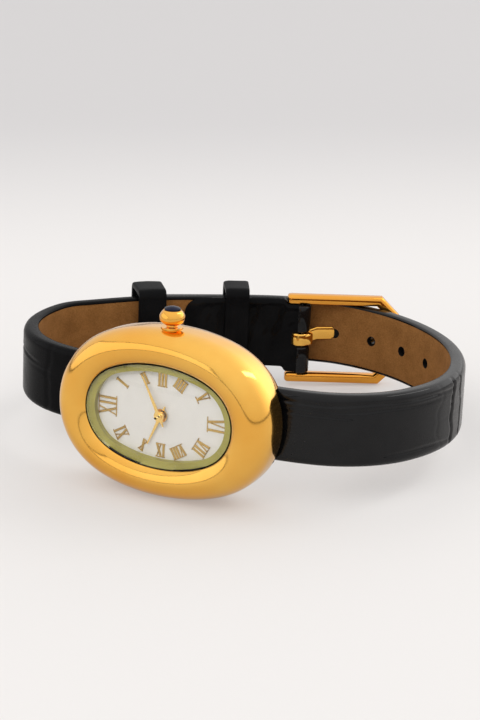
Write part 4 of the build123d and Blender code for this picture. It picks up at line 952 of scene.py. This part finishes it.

# %% [markdown]
# ## Dark holes: painted shade
# Seen from the lining, the holes look like black dots, because their insides
# lie in shade. That shade is painted: each free hole gets a very thin black
# sleeve, through both layers. The hole in use gets a black ring on the lining,
# where the tongue goes in, as painted shade too.

# %% Black sleeves in the holes: painted shade
sleeve_skin, sleeve_start, sleeve_end = 0.05, 0.1, LEATHER + LINING - 0.04
sleeve_section = ((hole_radius, sleeve_start), (hole_radius, sleeve_end),
                  (hole_radius - sleeve_skin, sleeve_end), (hole_radius - sleeve_skin, sleeve_start))
# Black sleeves in the free holes: painted shade for the dark inside of each hole.
for k in hole_numbers:
    if k == 0:
        continue
    sleeve = []
    along = hole_at - k * hole_spacing
    for a in full_turn(hole_sides):
        sleeve.append([strap_point(tail_arcs, along + radius * math.cos(a), radius * math.sin(a), depth)
                       for radius, depth in sleeve_section])
    dress(make_piece(f"hole_shade_{k + 3}", *skin(sleeve, closed=True)), "black_rubber", "watch")
# A black ring in the hole in use, on the lining side: painted shade where the tongue goes in.
hole_shade_rings = [[strap_point(tail_arcs, hole_at + r * math.cos(a), r * math.sin(a), depth)
          for a in full_turn(hole_sides)]
         for r, depth in ((hole_radius - 0.01, 1.1), (hole_radius - 0.01, 1.66), (0.3, 1.62))]
used_hole_shade = make_piece("hole_shade_3", *skin(hole_shade_rings))
cut_away(used_hole_shade, [passage_cutter()])
dress(used_hole_shade, "black_rubber", "watch")
print("hole edges sealed")

# %% [markdown]
# ## Where the strap folds over the bar
# The leather of the buckle half wraps the sprung bar and comes back inside the
# loop as a thin skived flap on its own lining. A slot in the fold leaves room for
# the tongue, so the fold is made of an upper and a lower part. The flap's lower
# corner reaches out to the buckle's lower rail.

# %% The fold and the flap
flap_end, flap_corner, flap_depth, flap_thickness = 98.6, 2.2, 3.7, 0.6
fold_radius, fold_bore, slot_half, fold_turns = 1.5, 0.72, 1.15, (-1.9, 1.95)
# The fold's cut edge is worn round: how far it drops from the roll's face, and how far in.
worn_edge = ((0.25, 0), (0.08, 0.08), (0, 0.3))
buckle_direction = math.radians(29)


def fold(name, low, high):
    """Half of the leather roll around the bar, between two places across it."""
    section = [(fold_bore, low)] + [(fold_radius - drop, low + run) for drop, run in worn_edge]
    section += [(fold_radius - drop, high - run) for drop, run in reversed(worn_edge)] + [(fold_bore, high)]
    rings = []
    for a in np.linspace(*fold_turns, 28):
        turn = buckle_direction + a
        rings.append([(bar_spot[0] + r * math.cos(turn), u, -(bar_spot[1] + r * math.sin(turn)))
                      for r, u in section])
    return make_piece(name, *skin(rings), sharp_angle=math.radians(60))


fold_half = half_width(tail_arcs, bar_at, buckle_far_half) - 0.05
for name, low, high in (("bar_fold_upper", slot_half, fold_half), ("bar_fold_lower", -fold_half, -slot_half)):
    dress(fold(name, low, high), "black_leather", "watch")

flap_start, low_corner, corner_end, corner_slope = bar_at - 0.2, 0.72, 2.9, 0.5
flap_rings = []
for share in np.linspace(0, 1, 60):
    ring = []
    for u, top in [(u, 0) for u in np.linspace(-1, 1, 41)] + [(u, 1) for u in np.linspace(1, -1, 41)]:
        along = flap_start + share * (flap_end - flap_corner * u ** 6 - flap_start)
        crumple = 0.05 * wave(along * 1.3 + 2 * u, 2.0, 1.1) + 0.04 * wave(4 * u + along * 0.3, 1.0, 1.3)
        skived = flap_thickness * min(1.0, 0.35 + (1 - share) * 7) * (1 - abs(u) ** 14 * 0.5)
        depth = flap_depth + top * (skived - 0.06 + crumple * (1 - u ** 6))
        half = half_width(tail_arcs, along, buckle_far_half)
        if u > 0:
            half = slim(along - bar_at, half)
        else:
            half += low_corner * min(1, max(0, (flap_start + corner_end - along) / corner_slope))
        ring.append(strap_point(tail_arcs, along, u * half, depth))
    flap_rings.append(ring)
flap = make_piece("inner_flap", *skin(flap_rings), sharp_angle=math.radians(60))
dress(flap, "black_leather", "watch")
# The flap gets the darker copy of the leather too: painted shade.
flap.data.materials[0] = finishes["shaded_leather"]
print("fold and flap ready")

# %% [markdown]
# ## Keepers
# A keeper is a folded strip of leather that holds the tail. It is a loop with soft
# corners. The loop line is a rounded rectangle around both layers, and the strip's
# own section is a thin rounded bar that is swept around it.

# %% Two leather loops
keeper_outer, keeper_top, keeper_bottom, keeper_skin, keeper_corner = 7.2, -1.22, 5.52, 1.1, 1.25


def rounded_loop(half, top, bottom, corner, per_corner=8):
    """Across and depth around a rounded rectangle, with outward directions."""
    middle = (top + bottom) / 2
    tall = (bottom - top) / 2
    points = []
    for cu, cd, start in ((1, 1, 0), (-1, 1, 90), (-1, -1, 180), (1, -1, 270)):
        for a in np.linspace(start, start + 90, per_corner):
            c, s = math.cos(math.radians(a)), math.sin(math.radians(a))
            points.append((cu * (half - corner) + corner * c, middle + cd * (tall - corner) + corner * s, c, s))
    full = []
    for k, point in enumerate(points):
        full.append(point)
        following = points[(k + 1) % len(points)]
        if math.hypot(point[0] - following[0], point[1] - following[1]) > 1:
            for share in (0.2, 0.4, 0.6, 0.8):
                full.append(tuple(a + (b - a) * share for a, b in zip(point, following)))
    return full


def keeper(name, begin, end, body, node, sag):
    """A soft leather loop around the strap between two distances along it."""
    length = end - begin
    rings = []
    for across, depth, out_u, out_d in rounded_loop(keeper_outer, keeper_top, keeper_bottom, keeper_corner):
        ring = []
        for a in np.linspace(0, 360, 36, endpoint=False):
            c, s = math.cos(math.radians(a)), math.sin(math.radians(a))
            along = (begin + end) / 2 + length / 2 * boxy(c, 0.32)
            sink = keeper_skin / 2 * (1 - boxy(s, 0.35))
            sink += 0.05 * (1 if s > 0.2 else 0) * (0.5 + 0.5 * wave(across * 2 + along * 3, 1.0, 0.8))
            ring.append(strap_point(tail_arcs, along, across - sag - out_u * sink, depth - out_d * sink))
        rings.append(ring)
    loop = make_piece(name, *skin(rings, closed=True), sharp_angle=math.radians(70))
    dress(loop, "black_leather", body, node)
    loop.data.materials[0] = finishes["matt_leather"]


# Each keeper's two ends along the tail, its body, the node it stands for, and how far it sags.
keeper("stitched_keeper", 88.4, 92.2, "watch", "fixed_keeper", 0.25)
keeper("sliding_keeper", 101.7, 106.1, "loose_keeper", "free_keeper", 0.35)
print("keepers ready")

# %% [markdown]
# ## Buckle and tongue
# The buckle is bent from thick bar: three sides of a rectangle with two cut
# corners and round ends. Its section is a box that polishing has rounded, so one
# section is carried along the outline and mitred at each corner. The tongue is a
# flat strip curled around the bar. It slants up with the strap that it pierces,
# and lies in a notch of the rim.

# %% The buckle's frame
def buckle_place(x, across, height):
    """Drawing point from the buckle's own plane: from the bar outward, across, and away from the wrist."""
    c, s = math.cos(buckle_direction), math.sin(buckle_direction)
    return (bar_spot[0] + x * c - height * s, across, -(bar_spot[1] + x * s + height * c))


def bevelled_side(start, reach, half, bevel):
    """One outline of the frame from its open end round to the other, with bevelled corners."""
    upper = [(start, half), (reach - bevel, half), (reach, half - bevel)]
    return upper + [(x, -y) for x, y in reversed(upper)]


buckle_back, buckle_reach, window_reach = 2.1, 14.9, 13.3
outer_half, inner_half = 6.85, 5.36
frame_low, frame_high, frame_roundness = -0.85, 1.25, 0.62
outer_corner, inner_corner = 2.7, 1.9
notch_half, tongue_rest = 1.15, 0.78
outer = bevelled_side(-buckle_back, buckle_reach, outer_half, outer_corner)
inner = bevelled_side(-buckle_back, window_reach, inner_half, inner_corner)


def frame_ring(inside, outside, size=1.0, shift=0.0):
    """The frame's rounded section between a place on its inner line and one on its outer line."""
    middle_x, middle_y = (inside[0] + outside[0]) / 2 + shift, (inside[1] + outside[1]) / 2
    wide_x, wide_y = outside[0] - inside[0], outside[1] - inside[1]
    ring = []
    for a in full_turn(40):
        c = boxy(math.cos(a), frame_roundness) * size / 2
        h = boxy(math.sin(a), frame_roundness) * size / 2
        ring.append(buckle_place(middle_x + wide_x * c, middle_y + wide_y * c,
                                 (frame_low + frame_high) / 2 + (frame_high - frame_low) * h))
    return ring


# The ends close in four rings, each a share of the full section and a little further along.
end_rings = ((0.55, 0.0), (0.82, 0.1), (0.95, 0.28), (1.0, 0.55))
rings = [frame_ring(inner[0], outer[0], size, shift) for size, shift in end_rings]
rings += [frame_ring(i, o) for i, o in zip(inner[1:-1], outer[1:-1])]
rings += [frame_ring(inner[-1], outer[-1], size, shift) for size, shift in reversed(end_rings)]
buckle = make_piece("polished_buckle", *skin(rings), sharp_angle=math.radians(36))
notch = [[buckle_place(x, y + strap_lift, height)
          for x, y in ((window_reach - 1, -notch_half), (buckle_reach + 1, -notch_half),
                       (buckle_reach + 1, notch_half), (window_reach - 1, notch_half))]
         for height in (tongue_rest, frame_high + 1)]
cut_away(buckle, [make_piece("cutter", *skin(notch))])
dress(buckle, "polished_gold", "buckle", "buckle_frame")
buckle.data.materials[0] = finishes["rose_gold"]
print("buckle faces", len(buckle.data.polygons))

# %% The tongue
tongue_straight, tongue_bend_radius, tongue_bend, tongue_tip = 8.6, 3.0, 10.5, 5.6
tongue_half, tongue_low, tongue_high, eye_radius, eye_bore = 0.98, 0.24, 0.7, 1.5, 0.7


def tongue_line():
    """Centre line points of the tongue in plan, with headings."""
    h = math.radians(tongue_direction)
    x, y = bar_spot
    points = [(x + d * math.cos(h), y + d * math.sin(h), h) for d in np.linspace(0.9, tongue_straight, 14)]
    x, y = x + tongue_straight * math.cos(h), y + tongue_straight * math.sin(h)
    for a in np.linspace(0, math.radians(tongue_bend), 6)[1:]:
        k = h - a
        points.append((x + tongue_bend_radius * (math.sin(h) - math.sin(k)),
                       y - tongue_bend_radius * (math.cos(h) - math.cos(k)), k))
    x, y, k = points[-1]
    points += [(x + d * math.cos(k), y + d * math.sin(k), k) for d in np.linspace(0, tongue_tip, 10)[1:]]
    return points


tongue_rings = []
points = tongue_line()
for number, (x, y, heading) in enumerate(points):
    left = (len(points) - 1 - number) / 4
    size = 1.0 if left >= 1 else math.sqrt(max(0.05, 1 - (1 - left) ** 2))
    ring = []
    for t in full_turn(32):
        c, s = math.cos(t), math.sin(t)
        across = size * tongue_half * boxy(c, 0.5)
        thick = size ** 0.5 * (tongue_high - tongue_low) / 2 * boxy(s, 0.5)
        height = (tongue_high + tongue_low) / 2 + thick
        slant = strap_lift * min(1.0, number / 3)
        ring.append((x - height * math.sin(heading), across + slant, -(y + height * math.cos(heading))))
    tongue_rings.append(ring)
tongue = make_piece("tongue_blade", *skin(tongue_rings))
dress(tongue, "polished_gold", "tongue", "buckle_tongue")
eye_rings = []
for t in full_turn(48):
    ring = []
    for a in full_turn(16):
        c, s = math.cos(a), math.sin(a)
        r = (eye_radius + eye_bore) / 2 + (eye_radius - eye_bore) / 2 * boxy(c, 0.6)
        u = tongue_half * boxy(s, 0.4)
        ring.append((bar_spot[0] + r * math.cos(t), u, -(bar_spot[1] + r * math.sin(t))))
    eye_rings.append(ring)
dress(make_piece("tongue_eye", *skin(eye_rings, closed=True)), "polished_gold", "tongue")
# The curl's end: distance from the bar, how far it reaches inward, and its half width.
curl_sections = ((0.0, -1.48, 0.96), (0.6, -1.42, 0.97), (1.1, -1.3, 0.97), (1.5, -1.1, 0.95),
                 (1.75, -0.9, 0.9), (1.85, -0.7, 0.82))
curl_rings = []
for distance, low, half in curl_sections:
    ring = []
    for t in full_turn(24):
        c, s = math.cos(t), math.sin(t)
        height = (low + tongue_high) / 2 + (tongue_high - low) / 2 * boxy(s, 0.5)
        ring.append(tongue_place(distance, half * boxy(c, 0.5), height))
    curl_rings.append(ring)
dress(make_piece("tongue_curl", *skin(curl_rings)), "polished_gold", "tongue")
print("tongue ready")

# %% [markdown]
# ## Floor, light and camera
# Polished gold shows the whole room, so the room is designed for it. Small shiny
# things are photographed in a white tent: everything around is pale, and thin
# dark gaps between its panels draw the fine lines that make metal look like
# metal. Here the tent is the world, with one bright card in front and a gap
# around it. One soft lamp behind gives the shadows their direction, and a narrow
# one draws a line along the gold. The floor is one pale sheet, its colour and glow
# painted darker toward the back: painted shade, as the tent lights it less there.

# %% The floor
floor_mesh = bpy.data.meshes.new("floor")
reach = 3.0
floor_mesh.from_pydata([(-reach, -reach, 0), (reach, -reach, 0), (reach, reach, 0), (-reach, reach, 0)], [],
                       [(0, 1, 2, 3)])
floor = bpy.data.objects.new("floor", floor_mesh)
scene.collection.objects.link(floor)
paper, shader = finish("pale_paper", (0.74, 0.73, 0.72), 0.7, Specular_IOR_Level=0.2)
tree = paper.node_tree
# Painted shade: the floor's colour, and its glow below, grow darker toward the back, standing in for the tent's
# light weakening there. The mottle on top is random.
back_start, back_end, backward = 0.06, 0.19, (-0.455, 0.89, 0)
back_shade = tree.nodes.new("ShaderNodeMapRange")
back_shade.interpolation_type = "SMOOTHSTEP"
back_shade.inputs["From Min"].default_value = back_start
back_shade.inputs["From Max"].default_value = back_end
back_shade.inputs["To Min"].default_value = 0.3
back_shade.inputs["To Max"].default_value = 0.7
tree.links.new(toward(tree, object_place(tree), backward), back_shade.inputs["Value"])
mottle_and_back_shade = math_node(tree, "MULTIPLY_ADD", noise(tree, object_place(tree), 9.0), 0.06, back_shade.outputs["Result"])
tint(paper, shader, mottle_and_back_shade, (0.48, 0.466, 0.456), (0.39, 0.38, 0.383))
glow_level, glow_back_shade = 0.37, -0.25
relief(paper, shader, noise(tree, object_place(tree), 2500.0), 0.00001)
floor_mesh.materials.append(paper)
print("floor ready")

# %% A share of the floor's white that no shadow reaches
# High-key studio floors are lit from below as well. The camera, and metal and
# glass, see that share of white; the object isn't lit by it.
ray = tree.nodes.new("ShaderNodeLightPath")
mirrored = math_node(tree, "MULTIPLY", ray.outputs["Is Glossy Ray"], 0.6)
seen = math_node(tree, "MAXIMUM", ray.outputs["Is Camera Ray"], mirrored)
seen = math_node(tree, "MAXIMUM", seen, ray.outputs["Is Transmission Ray"])
# The glow is painted darker toward the back as well: painted shade.
glow = math_node(tree, "MULTIPLY_ADD", back_shade.outputs["Result"], glow_back_shade, glow_level)
tree.links.new(math_node(tree, "MULTIPLY", seen, glow), shader.inputs["Emission Strength"])
shader.inputs["Emission Color"].default_value = (1.0, 0.985, 0.975, 1)
print("floor glows")

# %% The tent
world = bpy.data.worlds.new("tent")
scene.world = world
world.use_nodes = True
tree = world.node_tree
direction = tree.nodes.new("ShaderNodeTexCoord").outputs["Generated"]


def between(value, low, high):
    """One where a value lies between two limits."""
    above = math_node(tree, "GREATER_THAN", value, low)
    return math_node(tree, "MULTIPLY", above, math_node(tree, "LESS_THAN", value, high))


card_turn, card_rise = math.radians(-125), math.radians(15)
card_middle = Vector((math.sin(card_turn) * math.cos(card_rise), math.cos(card_turn) * math.cos(card_rise),
                      math.sin(card_rise)))
card_right = Vector((0, 0, 1)).cross(card_middle).normalized()
card_up = card_middle.cross(card_right)
card_half_width, card_half_height, gap_width = math.radians(40), math.radians(25), 1.07
beside, above = (
    math_node(tree, "DIVIDE", math_node(tree, "ABSOLUTE", toward(tree, direction, side)), math.tan(half))
    for side, half in ((card_right, card_half_width), (card_up, card_half_height)))
facing = math_node(tree, "MAXIMUM", toward(tree, direction, card_middle), 0.001)
from_middle = math_node(tree, "DIVIDE", math_node(tree, "MAXIMUM", beside, above), facing)
card = between(from_middle, -1, 1)
gap = between(from_middle, 1, gap_width)
rise = toward(tree, direction, (0, 0, 1))
foot = between(rise, -0.01, 0.03)
tent_level, tent_top, card_extra, dark_share = 0.80, 0.24, 0.32, 0.82
window_middle, window_extra, window_focus = Vector((0.45, 0.88, 0.2)).normalized(), 1.1, 6.0
level = math_node(tree, "MULTIPLY_ADD", math_node(tree, "MAXIMUM", rise, 0), tent_top, tent_level)
level = math_node(tree, "MULTIPLY_ADD", card, card_extra, level)
near_window = math_node(tree, "MAXIMUM", toward(tree, direction, window_middle), 0)
window_glow = math_node(tree, "POWER", near_window, window_focus)
level = math_node(tree, "MULTIPLY_ADD", window_glow, window_extra, level)
dark = math_node(tree, "MULTIPLY", math_node(tree, "MAXIMUM", gap, foot), dark_share)
level = math_node(tree, "MULTIPLY", level, math_node(tree, "SUBTRACT", 1, dark))
background = tree.nodes["Background"]
background.inputs["Color"].default_value = (1.0, 0.99, 0.985, 1)
tree.links.new(level, background.inputs["Strength"])
print("tent ready")


# %% Lamps
def soft_box(name, place, target, size, power, roll=0.0, in_reflections=True):
    """A square area lamp that looks at a point."""
    lamp = bpy.data.lights.new(name, "AREA")
    lamp.shape = "RECTANGLE"
    lamp.size, lamp.size_y = size
    lamp.energy = power
    lamp.color = (1, 0.985, 0.965)
    box = bpy.data.objects.new(name, lamp)
    box.location = place
    look = (Vector(target) - Vector(place)).to_track_quat("-Z", "Y")
    box.rotation_euler = (look @ Quaternion((0, 0, 1), roll)).to_euler()
    box.visible_glossy = in_reflections
    scene.collection.objects.link(box)
    return box


def light_strip(name, start, end, width, power):
    """A narrow lamp from one place to another, seen as a line in polished things."""
    start, end = Vector(start), Vector(end)
    strip = soft_box(name, (start + end) / 2, (0, 0, 0.01), ((end - start).length, width), power)
    along = (end - start).normalized()
    out = (start + end) / 2
    out = (out - along * out.dot(along)).normalized()
    strip.rotation_euler = Matrix((along, out.cross(along), out)).transposed().to_euler()


soft_box("key_light", (0.39, 0.38, 0.55), (0, 0, 0.01), (0.42, 0.14), 0.55, in_reflections=False)
light_strip("edge_light", (0.34, 0.50, 0.38), (0.36, 0.19, 0.58), 0.08, 0.3)
soft_box("fill_light", (-0.1, -0.6, 0.6), (0, 0, 0.01), (0.5, 0.4), 1.5, in_reflections=False)
print("lights ready")

# %% The camera, at the photograph's angle
lens = bpy.data.cameras.new("portrait_camera")
lens.lens = 111.648
lens.sensor_width = 36.0
camera = bpy.data.objects.new("portrait_camera", lens)
camera.location = (0.135325, -0.26693, 0.127088)
camera.rotation_euler = Euler([math.radians(a) for a in (68.8067, 0.1414, 27.0516)])
lens.clip_start = 0.01
scene.collection.objects.link(camera)
scene.camera = camera
scene.view_settings.view_transform = "Standard"
print("camera at", tuple(camera.location))
